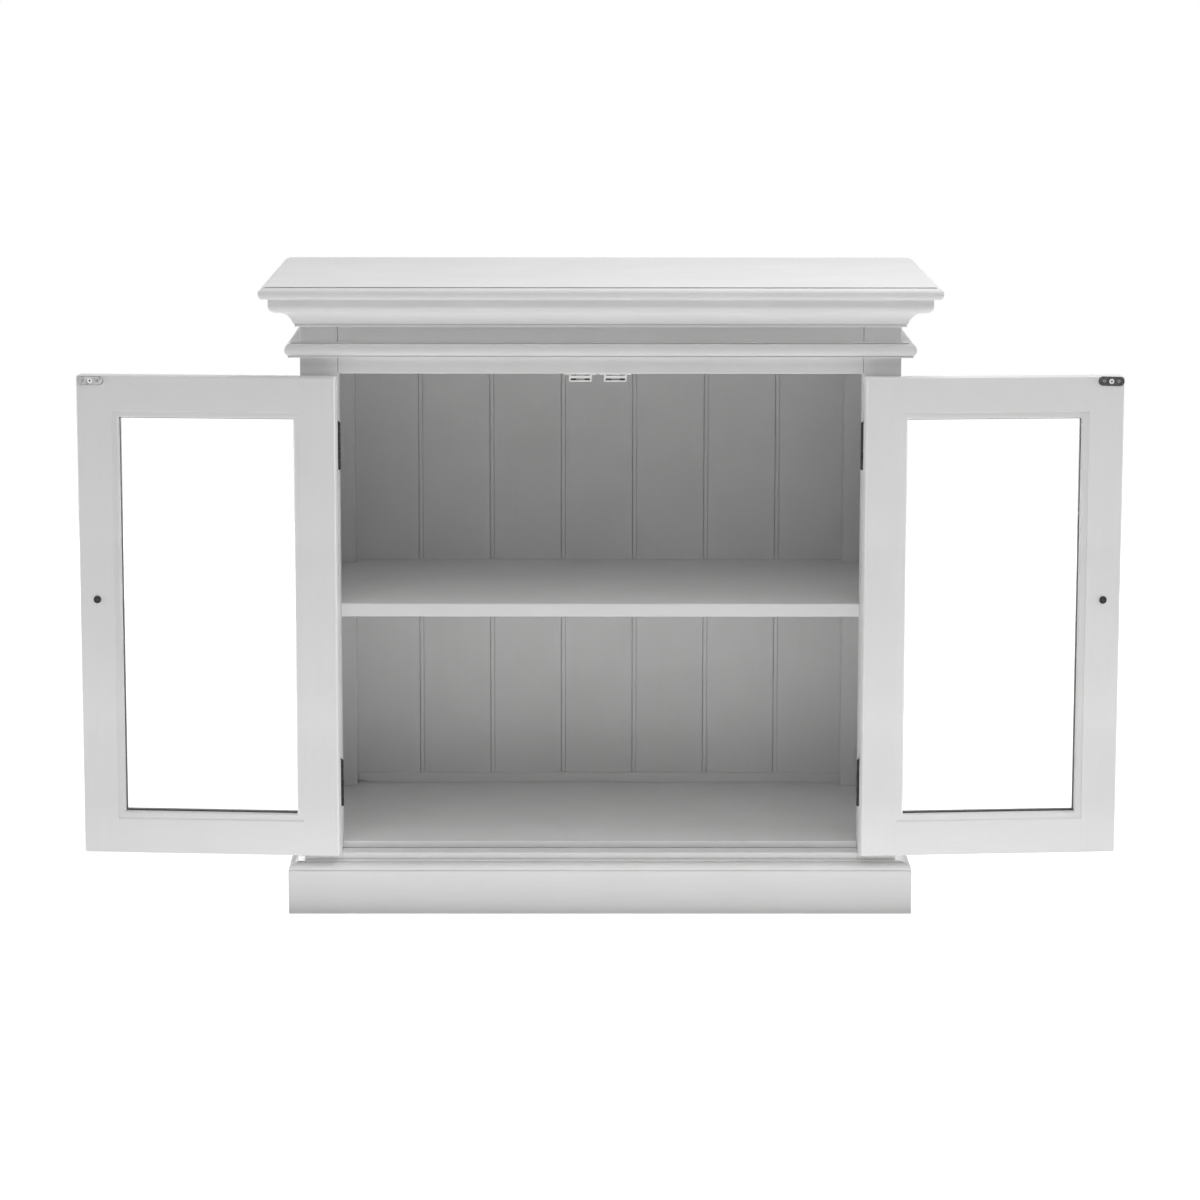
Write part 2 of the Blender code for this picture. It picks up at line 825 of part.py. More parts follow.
def build_door_stile(name, side, pivot, hinged):
    """One stile of a door, from the full height of the door."""
    edge_x = side * (door_edge if hinged else door_free)
    inward = Vector((-side if hinged else side, 0, 0))
    frame = (Vector((edge_x, front_y, door_bottom)), inward, Vector((0, 1, 0)),
             Vector((0, 0, 1)))
    bm, _, _ = extruded(rebated_section(door_stile_width), frame, door_top - door_bottom)
    stile = piece(name, bm, paint, pivot)
    for label, level, rise in (("foot", door_bottom, 1), ("head", door_top, -1)):
        cut(stile, f"{name}_{label}_corner", corner_waste(edge_x, inward, level, rise))
    towards = side if hinged else -side
    mortises = [door_tenon(box, towards).grown(fit_gap)
                for box in door_rail_boxes(side).values()]
    cut(stile, name + "_mortises", blocks(*mortises))
    if hinged:
        pockets = [leaf_pocket(side, level, True) for level in hinge_levels().values()]
        cut(stile, name + "_hinge_pockets", blocks(*pockets))
    else:
        hole = turned_rod(screw_hole_radius, front_y - arris, door_back + arris,
                          knob_x(side), knob_height)
        cut(stile, name + "_screw_hole", hole)
    return stile


def build_door_rail(name, side, pivot, box, upward):
    """One rail of a door; its lip stops between the lips of the stiles."""
    width = door_bottom_rail if upward else door_top_rail
    level = door_bottom if upward else door_top
    rise = Vector((0, 0, 1 if upward else -1))
    frame = (Vector((box.lo.x, front_y, level)), rise, Vector((0, 1, 0)), Vector((1, 0, 0)))
    bm, _, _ = extruded(rebated_section(width), frame, box.hi.x - box.lo.x)
    rail = piece(name, bm, paint, pivot)
    over = 2 * arris
    ends = []
    for towards, end_x in ((-1, box.lo.x), (1, box.hi.x)):
        inner = end_x - towards * (rebate_width)
        far = level + (rise.z * (width + rebate_width + over))
        near = level - rise.z * over
        ends.append(Box(inner, end_x + towards * over, front_y - over,
                        front_y + lip_thickness + fit_gap, near, far))
    cut(rail, name + "_shoulders", blocks(*ends))
    tenons = []
    for towards in (-1, 1):
        tenon = door_tenon(box, towards)
        root = box.hi.x if towards > 0 else box.lo.x
        tenons.append(Box(root - towards * over, tenon.hi.x if towards > 0 else tenon.lo.x,
                          tenon.lo.y, tenon.hi.y, tenon.lo.z, tenon.hi.z))
    join(rail, name + "_tenons", blocks(*tenons))
    return rail


def window(side):
    """The rebate opening of a door: inner faces of the full thickness members."""
    x0 = side * (door_free + door_stile_width)
    x1 = side * (door_edge - door_stile_width)
    return (min(x0, x1), max(x0, x1), door_bottom + door_bottom_rail,
            door_top - door_top_rail)


def build_glass(side, pivot):
    """Sheet glass behind the lips."""
    x0, x1, z0, z1 = window(side)
    front = front_y + lip_thickness + fit_gap
    pane = Box(x0 + glass_margin, x1 - glass_margin, front, front + glass_thickness,
               z0 + glass_margin, z1 - glass_margin)
    return piece(side_name("door_glass", side), blocks(pane), clear_glass, pivot)


def build_glazing_bead(side, pivot):
    """Mitred bead frame that holds the glass, flush with the inside of the door."""
    x0, x1, z0, z1 = window(side)
    front = front_y + lip_thickness + 2 * fit_gap + glass_thickness
    inner_round = arc((rebate_width - glazing_bead_round, door_back - glazing_bead_round),
                      (glazing_bead_round, glazing_bead_round), 0, 90, 3)
    section = ([(fit_gap, front), (rebate_width, front)] + inner_round
               + [(fit_gap + arris / 2, door_back), (fit_gap, door_back - arris / 2)])
    levels = []
    for inset, y in section + section[:1]:
        levels.append([Vector((x0 + inset, y, z0 + inset)), Vector((x1 - inset, y, z0 + inset)),
                       Vector((x1 - inset, y, z1 - inset)), Vector((x0 + inset, y, z1 - inset))])
    bm, _, _ = swept_rectangle(levels)
    bmesh.ops.remove_doubles(bm, verts=bm.verts, dist=fit_gap / 10)
    return piece(side_name("glazing_bead", side), bm, paint, pivot)


def knob_x(side):
    """The knob stands on the middle line of the free stile."""
    return side * (door_free + door_stile_width / 2)


def turned_rod(radius, y0, y1, x, z):
    """A plain rod along Y."""
    bm = bmesh.new()
    turn = Matrix.Rotation(math.radians(90), 4, "X")
    place_rod = Matrix.Translation((x, (y0 + y1) / 2, z)) @ turn
    bmesh.ops.create_cone(bm, cap_ends=True, segments=knob_sides, radius1=radius,
                          radius2=radius, depth=y1 - y0, matrix=place_rod)
    return bm


def build_knob(side, pivot):
    """Turned knob with a rose, a neck and a blind hole for its screw."""
    name = side_name("knob", side)
    profile = [(0.0, knob_bore_depth), (knob_bore_radius, knob_bore_depth),
               (knob_bore_radius, 0.0), (knob_rose_radius, 0.0),
               (knob_rose_radius, knob_rose_height - knob_rose_edge),
               (knob_rose_radius - knob_rose_edge, knob_rose_height)]
    half_head = knob_length * knob_head_share / 2
    head_middle = knob_length - half_head
    head_start = head_middle - half_head
    profile += [(knob_neck_radius, knob_neck_foot), (knob_neck_radius, head_start)]
    profile += arc((0.0, head_middle), (knob_radius, half_head), -50, 90, 9)
    mesh = bpy.data.meshes.new(name)
    outline = [(radius, 0.0, height) for radius, height in reversed(profile)]
    mesh.from_pydata(outline, [(i, i + 1) for i in range(len(outline) - 1)], [])
    knob = bpy.data.objects.new(name, mesh)
    buffet.objects.link(knob)
    knob.parent = pivot
    knob.location = Vector((knob_x(side), front_y - fit_gap, knob_height)) - pivot.location
    knob.rotation_euler = (math.radians(90), 0, 0)
    turning = knob.modifiers.new("turning", "SCREW")
    turning.angle = math.tau
    turning.steps = knob_sides
    turning.render_steps = knob_sides
    turning.use_merge_vertices = True
    turning.merge_threshold = 0.00001
    turning.use_smooth_shade = True
    mesh.materials.append(iron(name))
    return knob


def build_strike_plate(side, pivot):
    """Oval steel plate that the catch holds, screwed to the inside of the door."""
    name = side_name("strike_plate", side)
    radius = strike_width / 2
    half = strike_length / 2 - radius
    middle_x = side * (door_free + strike_inset + strike_length / 2)
    middle_z = door_top - strike_inset - radius
    outline = arc((half, 0.0), (radius, radius), -90, 90, 10)
    outline += arc((-half, 0.0), (radius, radius), 90, 270, 10)
    frame = (Vector((middle_x, door_back + fit_gap, middle_z)), Vector((1, 0, 0)),
             Vector((0, 0, 1)), Vector((0, 1, 0)))
    bm, _, _ = extruded(outline, frame, strike_thickness)
    plate = piece(name, bm, zinc, pivot)
    hole = turned_rod(strike_hole_radius, door_back - arris,
                      door_back + strike_thickness + arris, middle_x, middle_z)
    cut(plate, name + "_hole", hole)
    return plate


def leaf_section(side, in_door):
    """Section of a hinge leaf with its knuckle, round the pin at the origin."""
    near = door_gap / 2
    far = near + leaf_thickness
    start = math.degrees(math.acos(far / knuckle_radius))
    end = math.degrees(math.acos(near / knuckle_radius)) - 360
    outline = [(near, leaf_width), (far, leaf_width)]
    outline += arc((0.0, 0.0), (knuckle_radius, knuckle_radius), start, end, hinge_sides)
    inward = -side * side_sign(in_door)
    return [(inward * u, v) for u, v in outline]


def knuckle_space(index, level):
    """Middle height and length of the space that the other leaf's knuckle turns in."""
    pitch = hinge_height / knuckle_count
    middle = level - hinge_height / 2 + (index + 0.5) * pitch
    height = pitch + knuckle_gap
    overshoot = knuckle_gap * 4
    if index == 0:
        middle -= overshoot / 2
        height += overshoot
    if index == knuckle_count - 1:
        middle += overshoot / 2
        height += overshoot
    return middle, height


def rod_at_pin(bm, side, middle, height, radius):
    """Add an upright rod round a hinge's axis."""
    bmesh.ops.create_cone(bm, cap_ends=True, segments=hinge_sides, radius1=radius,
                          radius2=radius, depth=height,
                          matrix=Matrix.Translation((side * pin_x, pin_y, middle)))


def build_hinge_leaf(side, where, level, in_door, parent):
    """One leaf: a plate with its own knuckles, clear of the other leaf's."""
    base = f"{where}_hinge_{'door' if in_door else 'frame'}_leaf"
    name = side_name(base, side)
    frame = (Vector((side * pin_x, pin_y, level - hinge_height / 2)), Vector((1, 0, 0)),
             Vector((0, 1, 0)), Vector((0, 0, 1)))
    bm, _, _ = extruded(leaf_section(side, in_door), frame, hinge_height)
    leaf = piece(name, bm, iron, parent)
    others = range(1, knuckle_count, 2) if not in_door else range(0, knuckle_count, 2)
    spaces = bmesh.new()
    for index in others:
        middle, height = knuckle_space(index, level)
        rod_at_pin(spaces, side, middle, height, knuckle_radius + 2 * fit_gap)
    cut(leaf, name + "_knuckle_spaces", spaces)
    if in_door:
        bore = bmesh.new()
        rod_at_pin(bore, side, level, hinge_height + 2 * arris, pin_radius + pin_clearance)
        cut(leaf, name + "_pin_bore", bore)
    else:
        pin = bmesh.new()
        rod_at_pin(pin, side, level, hinge_height - 2 * arris, pin_radius)
        join(leaf, name + "_pin", pin)
    return leaf


def build_door(side):
    """One door with its glass, beads, knob, plate and hinge leaves, hung open."""
    pivot = bpy.data.objects.new(side_name("door_pivot", side), None)
    buffet.objects.link(pivot)
    pivot.location = (side * pin_x, pin_y, 0.0)
    build_door_stile(side_name("door_hinge_stile", side), side, pivot, True)
    build_door_stile(side_name("door_lock_stile", side), side, pivot, False)
    for base, box in door_rail_boxes(side).items():
        name = side_name("door_" + base, side)
        build_door_rail(name, side, pivot, box, base == "bottom_rail")
    build_glass(side, pivot)
    build_glazing_bead(side, pivot)
    build_knob(side, pivot)
    build_strike_plate(side, pivot)
    for where, level in hinge_levels().items():
        build_hinge_leaf(side, where, level, True, pivot)
        build_hinge_leaf(side, where, level, False, None)
    pivot.rotation_euler = (0, 0, side * math.radians(rest_angle))


def build_buffet():
    """Every piece, from the top down."""
    build_top_board()
    build_mouldings()
    build_rails()
    for side in (-1, 1):
        build_front_stile(side)
        build_rear_post(side)
    build_back_boards()
    build_floor_and_shelf()
    build_catch("left_catch", catch_centre - catch_spacing / 2)
    build_catch("right_catch", catch_centre + catch_spacing / 2)
    for side in (-1, 1):
        build_door(side)
    bpy.context.view_layer.update()


build_buffet()
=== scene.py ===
"""Display buffet: its painted woodwork, glazed doors and hardware, in a small studio.

The CAD frame gives the places and the joints. Each class below stands for one
sub-assembly: it holds its sizes, builds the finished surfaces with bmesh
operators and dresses them. Metres, +Z up, the front faces -Y.
"""

import logging
import math
from dataclasses import dataclass, field
from enum import Enum
from typing import Optional, Sequence, Union

import bmesh
import bpy
from mathutils import Matrix, Vector


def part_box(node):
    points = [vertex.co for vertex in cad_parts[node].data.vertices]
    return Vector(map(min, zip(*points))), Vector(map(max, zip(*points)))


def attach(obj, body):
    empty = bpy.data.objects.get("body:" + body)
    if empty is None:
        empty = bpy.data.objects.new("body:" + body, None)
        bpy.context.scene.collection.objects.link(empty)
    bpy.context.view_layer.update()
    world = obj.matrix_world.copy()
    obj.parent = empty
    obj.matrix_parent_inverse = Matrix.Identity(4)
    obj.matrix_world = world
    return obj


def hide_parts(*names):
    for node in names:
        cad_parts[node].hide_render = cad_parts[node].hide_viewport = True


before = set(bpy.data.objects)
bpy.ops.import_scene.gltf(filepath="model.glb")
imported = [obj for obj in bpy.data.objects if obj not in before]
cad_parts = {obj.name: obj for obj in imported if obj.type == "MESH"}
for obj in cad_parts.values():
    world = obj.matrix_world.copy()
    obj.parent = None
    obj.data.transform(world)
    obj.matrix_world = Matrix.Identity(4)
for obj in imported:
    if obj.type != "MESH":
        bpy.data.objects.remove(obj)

log = logging.getLogger("display_buffet")

Mesh = bmesh.types.BMesh
Edge = bmesh.types.BMEdge
MeshFace = bmesh.types.BMFace
Material = bpy.types.Material
Socket = bpy.types.NodeSocket
Tree = bpy.types.NodeTree
Feed = Union[Socket, float, Sequence[float]]
Colour = tuple[float, float, float]
Place = tuple[float, float, float]
Point = tuple[float, float]

CREASE = math.radians(38)
ON_PLANE = 1e-5
SAME_POINT = 1e-6
NO_LENGTH = 1e-7
FACES_ONE_WAY = 0.9


# Named options and shared sizes


class Side(Enum):
    """The two sides of the cabinet, seen from the front."""

    LEFT = -1
    RIGHT = 1

    @property
    def sign(self) -> int:
        """-1 for the left, +1 for the right."""
        return self.value

    @property
    def word(self) -> str:
        """The word that the piece names begin with."""
        return self.name.lower()


class Face(Enum):
    """A side of an upright block: its axis, and whether it is the high one."""

    LEFT = (0, 0)
    RIGHT = (0, 1)
    FRONT = (1, 0)
    BACK = (1, 1)
    BOTTOM = (2, 0)
    TOP = (2, 1)


class Grain(Enum):
    """Direction of the brush strokes, as the scale of the pattern on each axis."""

    ALONG_X = (0.055, 1.0, 1.0)
    ALONG_Y = (1.0, 0.055, 1.0)
    ALONG_Z = (1.0, 1.0, 0.055)


class Run(Enum):
    """The three lengths of a moulding round the body."""

    FRONT = 0
    LEFT = -1
    RIGHT = 1


@dataclass(frozen=True)
class Carcass:
    """Sizes that several sub-assemblies share."""

    body_half: float = 0.400
    opening_half: float = 0.350
    front_y: float = -0.190
    back_y: float = 0.241
    pin_x: float = 0.349
    pin_y: float = -0.194
    gap: float = 0.0003
    tight: float = 0.0003


CARCASS = Carcass()


# Shader groups


class Wiring:
    """Adds nodes to a node tree from left to right and joins them."""

    def __init__(self, tree: Tree) -> None:
        """Start on a material's or a group's tree."""
        self.tree = tree
        self.column = 0

    def feed(self, value: Feed, target: Socket) -> None:
        """Link an input to a socket, or set it to a value."""
        if isinstance(value, Socket):
            self.tree.links.new(value, target)
        else:
            target.default_value = value

    def add(self, kind: str, feeds: Optional[dict[object, Feed]] = None,
            **settings: object) -> bpy.types.Node:
        """Add a node.

        Args:
            kind: The node's class name.
            feeds: What goes into its inputs, by their names or numbers.
            settings: Properties set on the node.

        Returns:
            The new node.
        """
        node = self.tree.nodes.new(kind)
        node.location = (self.column * 210, -40 * (self.column % 3))
        self.column += 1
        for name, value in settings.items():
            setattr(node, name, value)
        for key, value in (feeds or {}).items():
            self.feed(value, node.inputs[key])
        return node

    def maths(self, operation: str, first: Feed, second: Feed) -> Socket:
        """Combine two values, each a socket or a number."""
        node = self.add("ShaderNodeMath", {0: first, 1: second}, operation=operation)
        return node.outputs["Value"]

    def weighed(self, *parts: tuple[Socket, float]) -> Socket:
        """Add up values, each times its weight."""
        total = None
        for value, weight in parts:
            share = self.maths("MULTIPLY", value, weight)
            total = share if total is None else self.maths("ADD", total, share)
        return total

    def spread(self, value: Socket, low: float, high: float,
               source: Point = (0.0, 1.0)) -> Socket:
        """Map a value to a new range.

        Args:
            value: The socket that is read.
            low: Result at the start of the source range.
            high: Result at its end.
            source: The range that is read.

        Returns:
            The mapped socket.
        """
        node = self.add("ShaderNodeMapRange",
                        {"Value": value, "From Min": source[0], "From Max": source[1],
                         "To Min": low, "To Max": high})
        return node.outputs["Result"]

    def noise(self, vector: Socket, scale: Feed, detail: float,
              roughness: float = 0.5) -> Socket:
        """Add a noise pattern.

        Args:
            vector: Coordinates.
            scale: A number or a socket.
            detail: Octaves.
            roughness: Share of the finer octaves.

        Returns:
            The pattern's value.
        """
        node = self.add("ShaderNodeTexNoise",
                        {"Vector": vector, "Scale": scale, "Detail": detail,
                         "Roughness": roughness})
        return node.outputs["Fac"]

    def seen(self) -> Socket:
        """1 for rays from the camera, in a mirror image or through glass, else 0."""
        path = self.add("ShaderNodeLightPath").outputs
        direct = self.maths("MAXIMUM", path["Is Camera Ray"], path["Is Glossy Ray"])
        return self.maths("MAXIMUM", direct, path["Is Transmission Ray"])


def new_group(name: str, vectors: Sequence[str], numbers: dict[str, float],
              results: Sequence[str]) -> tuple[Wiring, dict[str, Socket], dict[str, Socket]]:
    """Make an empty shader group.

    Args:
        name: The group's name.
        vectors: Names of the inputs that take coordinates.
        numbers: Names and defaults of the other inputs.
        results: Names of the outputs.

    Returns:
        Its wiring, what comes into it and where its results go.
    """
    group = bpy.data.node_groups.new(name, "ShaderNodeTree")
    for label in vectors:
        group.interface.new_socket(name=label, in_out="INPUT", socket_type="NodeSocketVector")
    for label, default in numbers.items():
        socket = group.interface.new_socket(name=label, in_out="INPUT",
                                            socket_type="NodeSocketFloat")
        socket.default_value = default
    for label in results:
        group.interface.new_socket(name=label, in_out="OUTPUT", socket_type="NodeSocketFloat")
    wiring = Wiring(group)
    entry = wiring.add("NodeGroupInput")
    leave = group.nodes.new("NodeGroupOutput")
    leave.location = (2600, 0)
    given = {label: entry.outputs[label] for label in (*vectors, *numbers)}
    return wiring, given, {label: leave.inputs[label] for label in results}


class ShaderGroups:
    """The shared surface effects, each built once."""

    def __init__(self) -> None:
        """Build every group."""
        self.brushed_paint = self._brushed_paint()
        self.settled_dust = self._settled_dust()
        self.cast_skin = self._cast_skin()

    def _brushed_paint(self) -> Tree:
        """Paint laid on by brush: strokes along the grain, soft mottling and dust nibs.

        Returns:
            The group, with Height, Tone and Gloss outputs.
        """
        wiring, given, results = new_group(
            "brushed_paint", ("Place", "Along Grain"),
            {"Stroke Scale": 260.0, "Mottle Scale": 7.0, "Nib Scale": 34.0, "Nib Size": 0.035},
            ("Height", "Tone", "Gloss"))
        place = given["Place"]
        strokes = wiring.noise(given["Along Grain"], given["Stroke Scale"], detail=4.0)
        peel = wiring.noise(place, scale=620.0, detail=2.0)
        mottle = wiring.noise(place, given["Mottle Scale"], detail=4.0, roughness=0.55)
        spots = wiring.add("ShaderNodeTexVoronoi", {"Vector": place, "Scale": given["Nib Scale"]})
        near = wiring.maths("DIVIDE", spots.outputs["Distance"], given["Nib Size"])
        round_top = wiring.spread(near, 1.0, 0.0)
        rare = wiring.noise(place, scale=9.0, detail=1.0)
        gate = wiring.spread(rare, 0.0, 1.0, (0.60, 0.64))
        nibs = wiring.maths("MULTIPLY", round_top, gate)
        height = wiring.weighed((strokes, 0.75), (peel, 0.25), (nibs, 1.2))
        wiring.feed(height, results["Height"])
        soft = wiring.spread(mottle, 0.0, 0.8, (0.32, 0.70))
        fine = wiring.spread(strokes, 0.0, 0.35, (0.35, 0.70))
        blend = wiring.maths("ADD", soft, fine)
        tone = wiring.maths("ADD", blend, wiring.maths("MULTIPLY", nibs, 0.9))
        wiring.feed(tone, results["Tone"])
        wiring.feed(wiring.weighed((mottle, 0.6), (strokes, 0.4)), results["Gloss"])
        return wiring.tree

    def _settled_dust(self) -> Tree:
        """A thin film on faces that look up.

        Returns:
            The group, with a Film output.
        """
        wiring, given, results = new_group(
            "settled_dust", ("Place",), {"Patch Scale": 24.0, "Amount": 0.3}, ("Film",))
        normal = wiring.add("ShaderNodeNewGeometry").outputs["Normal"]
        split = wiring.add("ShaderNodeSeparateXYZ", {"Vector": normal})
        upward = wiring.spread(split.outputs["Z"], 0.0, 1.0, (0.55, 0.98))
        patch = wiring.noise(given["Place"], given["Patch Scale"], detail=5.0, roughness=0.6)
        patchy = wiring.spread(patch, 0.2, 1.0, (0.35, 0.7))
        film = wiring.maths("MULTIPLY", upward, patchy)
        wiring.feed(wiring.maths("MULTIPLY", film, given["Amount"]), results["Film"])
        return wiring.tree

    def _cast_skin(self) -> Tree:
        """Fine pitted skin of small metal and plastic parts, with rubbed patches.

        Returns:
            The group, with Height, Tone and Gloss outputs.
        """
        wiring, given, results = new_group(
            "cast_skin", ("Place",), {"Pit Scale": 900.0, "Patch Scale": 120.0},
            ("Height", "Tone", "Gloss"))
        pits = wiring.noise(given["Place"], given["Pit Scale"], detail=3.0, roughness=0.6)
        patch = wiring.noise(given["Place"], given["Patch Scale"], detail=5.0, roughness=0.6)
        rubbed = wiring.spread(patch, 0.0, 1.0, (0.42, 0.68))
        speck = wiring.spread(pits, 0.0, 0.5, (0.45, 0.75))
        wiring.feed(pits, results["Height"])
        wiring.feed(wiring.maths("ADD", rubbed, speck), results["Tone"])
        wiring.feed(patch, results["Gloss"])
        return wiring.tree


# Finishes


@dataclass(frozen=True)
class Finish:
    """A surface with a fine skin: two tones in patches, and a gloss that varies."""

    name: str
    light: Colour
    shade: Colour
    smooth: float
    matt: float
    metallic: float = 0.0
    transmission: float = 0.0
    refraction: float = 1.5
    pit_scale: float = 900.0
    patch_scale: float = 120.0
    tone_range: Point = (0.0, 1.5)
    gloss_range: Point = (0.3, 0.7)
    relief_strength: float = 0.25
    relief_depth: float = 0.0002

    def pattern(self, wiring: Wiring, place: Socket,
                groups: ShaderGroups) -> tuple[Socket, Socket, Socket]:
        """The pattern that colours and roughens the surface.

        Args:
            wiring: The material's wiring.
            place: Coordinates on the piece.
            groups: The shared effects.

        Returns:
            Tone, gloss and height.
        """
        skin = wiring.add("ShaderNodeGroup", node_tree=groups.cast_skin)
        for label, value in (("Pit Scale", self.pit_scale), ("Patch Scale", self.patch_scale),
                             ("Place", place)):
            wiring.feed(value, skin.inputs[label])
        return skin.outputs["Tone"], skin.outputs["Gloss"], skin.outputs["Height"]

    def build(self, groups: ShaderGroups) -> Material:
        """Make the material.

        Args:
            groups: The shared effects.

        Returns:
            The material.
        """
        material = bpy.data.materials.new(self.name)
        material.use_nodes = True
        nodes = material.node_tree.nodes
        shader = nodes["Principled BSDF"]
        shader.location = (2600, 0)
        nodes["Material Output"].location = (2900, 0)
        wiring = Wiring(material.node_tree)
        place = wiring.add("ShaderNodeTexCoord").outputs["Object"]
        tone, gloss, height = self.pattern(wiring, place, groups)
        kept = wiring.spread(tone, 0.0, 1.0, self.tone_range)
        mix = wiring.add("ShaderNodeMix", {"Factor": kept, "A": (*self.light, 1.0),
                                           "B": (*self.shade, 1.0)}, data_type="RGBA")
        rough = wiring.spread(gloss, self.smooth, self.matt, self.gloss_range)
        for label, value in (("Base Color", mix.outputs["Result"]), ("Roughness", rough),
                             ("Metallic", self.metallic), ("IOR", self.refraction),
                             ("Transmission Weight", self.transmission)):
            wiring.feed(value, shader.inputs[label])
        if self.relief_strength:
            bump = wiring.add("ShaderNodeBump", {"Strength": self.relief_strength,
                                                 "Distance": self.relief_depth,
                                                 "Height": height})
            wiring.feed(bump.outputs["Normal"], shader.inputs["Normal"])
        return material


@dataclass(frozen=True)
class PaintFinish(Finish):
    """White furniture paint, brushed on planed wood."""

    light: Colour = (0.835, 0.835, 0.833)
    shade: Colour = (0.785, 0.784, 0.780)
    smooth: float = 0.36
    matt: float = 0.50
    tone_range: Point = (0.0, 1.6)
    relief_strength: float = 0.30
    relief_depth: float = 0.00035
    grain: Grain = Grain.ALONG_X
    stroke_scale: float = 240.0

    def pattern(self, wiring: Wiring, place: Socket,
                groups: ShaderGroups) -> tuple[Socket, Socket, Socket]:
        """Brush strokes along the grain, with dust on what looks up."""
        along = wiring.add("ShaderNodeMapping", {"Scale": self.grain.value, "Vector": place})
        paint = wiring.add("ShaderNodeGroup", node_tree=groups.brushed_paint)
        for label, value in (("Stroke Scale", self.stroke_scale), ("Place", place),
                             ("Along Grain", along.outputs["Vector"])):
            wiring.feed(value, paint.inputs[label])
        dust = wiring.add("ShaderNodeGroup", node_tree=groups.settled_dust)
        wiring.feed(place, dust.inputs["Place"])
        tone = wiring.maths("ADD", paint.outputs["Tone"], dust.outputs["Film"])
        return tone, paint.outputs["Gloss"], paint.outputs["Height"]


class Finishes:
    """Every material of the cabinet."""

    def __init__(self, groups: ShaderGroups) -> None:
        """Build the materials from the shared effects."""
        self.paint = {grain: PaintFinish("white_paint_" + grain.name.lower(), grain=grain)
                      .build(groups) for grain in Grain}
        self.iron = Finish("black_iron", (0.012, 0.012, 0.012), (0.045, 0.043, 0.042),
                           0.30, 0.55, metallic=0.55).build(groups)
        self.plastic = Finish("white_plastic", (0.97, 0.97, 0.96), (0.93, 0.93, 0.92),
                              0.30, 0.42, pit_scale=1500.0, relief_strength=0.12).build(groups)
        self.bright_zinc = Finish("bright_zinc", (0.66, 0.66, 0.66), (0.50, 0.50, 0.50),
                                  0.34, 0.52, metallic=0.75).build(groups)
        # Lit and shaded copies of the strike plates' zinc: painted reflection on the left plate,
        # painted shade on the right, and the other way round on their dimples.
        self.grey_zinc = Finish("grey_zinc", (0.46, 0.46, 0.46), (0.17, 0.17, 0.17),
                                0.34, 0.52, metallic=0.75, patch_scale=260.0).build(groups)
        self.dull_zinc = Finish("dull_zinc", (0.045, 0.045, 0.046), (0.12, 0.12, 0.12),
                                0.36, 0.52, metallic=0.75, patch_scale=260.0).build(groups)
        # Dark steel of the catches' pole plates, also used as painted shade in the catch and
        # strike screw recesses.
        self.pole_steel = Finish("pole_steel", (0.030, 0.030, 0.030), (0.08, 0.08, 0.08),
                                 0.35, 0.55, metallic=0.8).build(groups)
        # Near-black material for painted shade: the ring at the glass edge, screw recesses and
        # the line round the strike plates.
        self.seal = Finish("glazing_seal", (0.030, 0.030, 0.030), (0.075, 0.074, 0.073),
                           0.55, 0.75).build(groups)
        self.glass = Finish("sheet_glass", (0.985, 0.995, 0.990), (0.970, 0.982, 0.977),
                            0.0, 0.03, transmission=1.0, refraction=1.45, pit_scale=60.0,
                            patch_scale=9.0, tone_range=(0.2, 1.5), gloss_range=(0.35, 0.75),
                            relief_strength=0.0).build(groups)


# Making pieces


def corners_of(node: str) -> tuple[Vector, Vector]:
    """Lowest and highest corner of a CAD node at rest."""
    low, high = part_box(node)
    return Vector(low), Vector(high)


def edges_at(bm: Mesh, x: Optional[float] = None, y: Optional[float] = None,
             z: Optional[float] = None) -> list[Edge]:
    """Edges that lie in every plane given.

    Args:
        bm: The mesh.
        x: Place of an upright plane across X, if one is given.
        y: The same across Y.
        z: Height of a level plane.

    Returns:
        The edges.
    """
    planes = [(axis, value) for axis, value in enumerate((x, y, z)) if value is not None]
    return [edge for edge in bm.edges
            if all(abs(vert.co[axis] - value) < ON_PLANE
                   for axis, value in planes for vert in edge.verts)]


def edges_along(bm: Mesh, axis: int) -> list[Edge]:
    """Edges whose ends stand apart along an axis."""
    return [edge for edge in bm.edges
            if abs(edge.verts[0].co[axis] - edge.verts[1].co[axis]) > SAME_POINT]


def without(edges: Sequence[Edge], spared: Sequence[Edge]) -> list[Edge]:
    """The edges that aren't among the spared ones."""
    return [edge for edge in edges if edge not in spared]


def soften(bm: Mesh, edges: Sequence[Edge], radius: float, segments: int) -> None:
    """Round some edges.

    Args:
        bm: The mesh.
        edges: The edges to round.
        radius: Width of the rounding.
        segments: Steps across it.
    """
    if edges:
        bmesh.ops.bevel(bm, geom=list(edges), offset=radius, affect="EDGES",
                        segments=segments, profile=0.5, material=-1)


def block(low: Vector, high: Vector) -> Mesh:
    """A plain upright block between two corners."""
    bm = bmesh.new()
    matrix = Matrix.Translation((low + high) / 2) @ Matrix.Diagonal((*(high - low), 1.0))
    bmesh.ops.create_cube(bm, size=1.0, matrix=matrix)
    return bm


def timber(low: Vector, high: Vector, worn: Sequence[tuple[Face, Face]], radius: float,
           segments: int = 4) -> Mesh:
    """A planed timber: rounded where a hand meets it, crisp in its joints.

    Args:
        low: Lowest corner.
        high: Highest corner.
        worn: Pairs of faces whose shared edge is rounded.
        radius: Radius of those edges.
        segments: Steps across them.

    Returns:
        The mesh of the timber.
    """
    bm = block(low, high)
    ends = (low, high)

    def rounded() -> list[Edge]:
        """The edges that the pairs of faces share."""
        found = []
        for pair in worn:
            planes: list[Optional[float]] = [None, None, None]
            for axis, upper in (face.value for face in pair):
                planes[axis] = ends[upper][axis]
            found += edges_at(bm, *planes)
        return found

    soften(bm, without(bm.edges, rounded()), CARCASS.tight, 1)
    soften(bm, rounded(), radius, segments)
    return bm


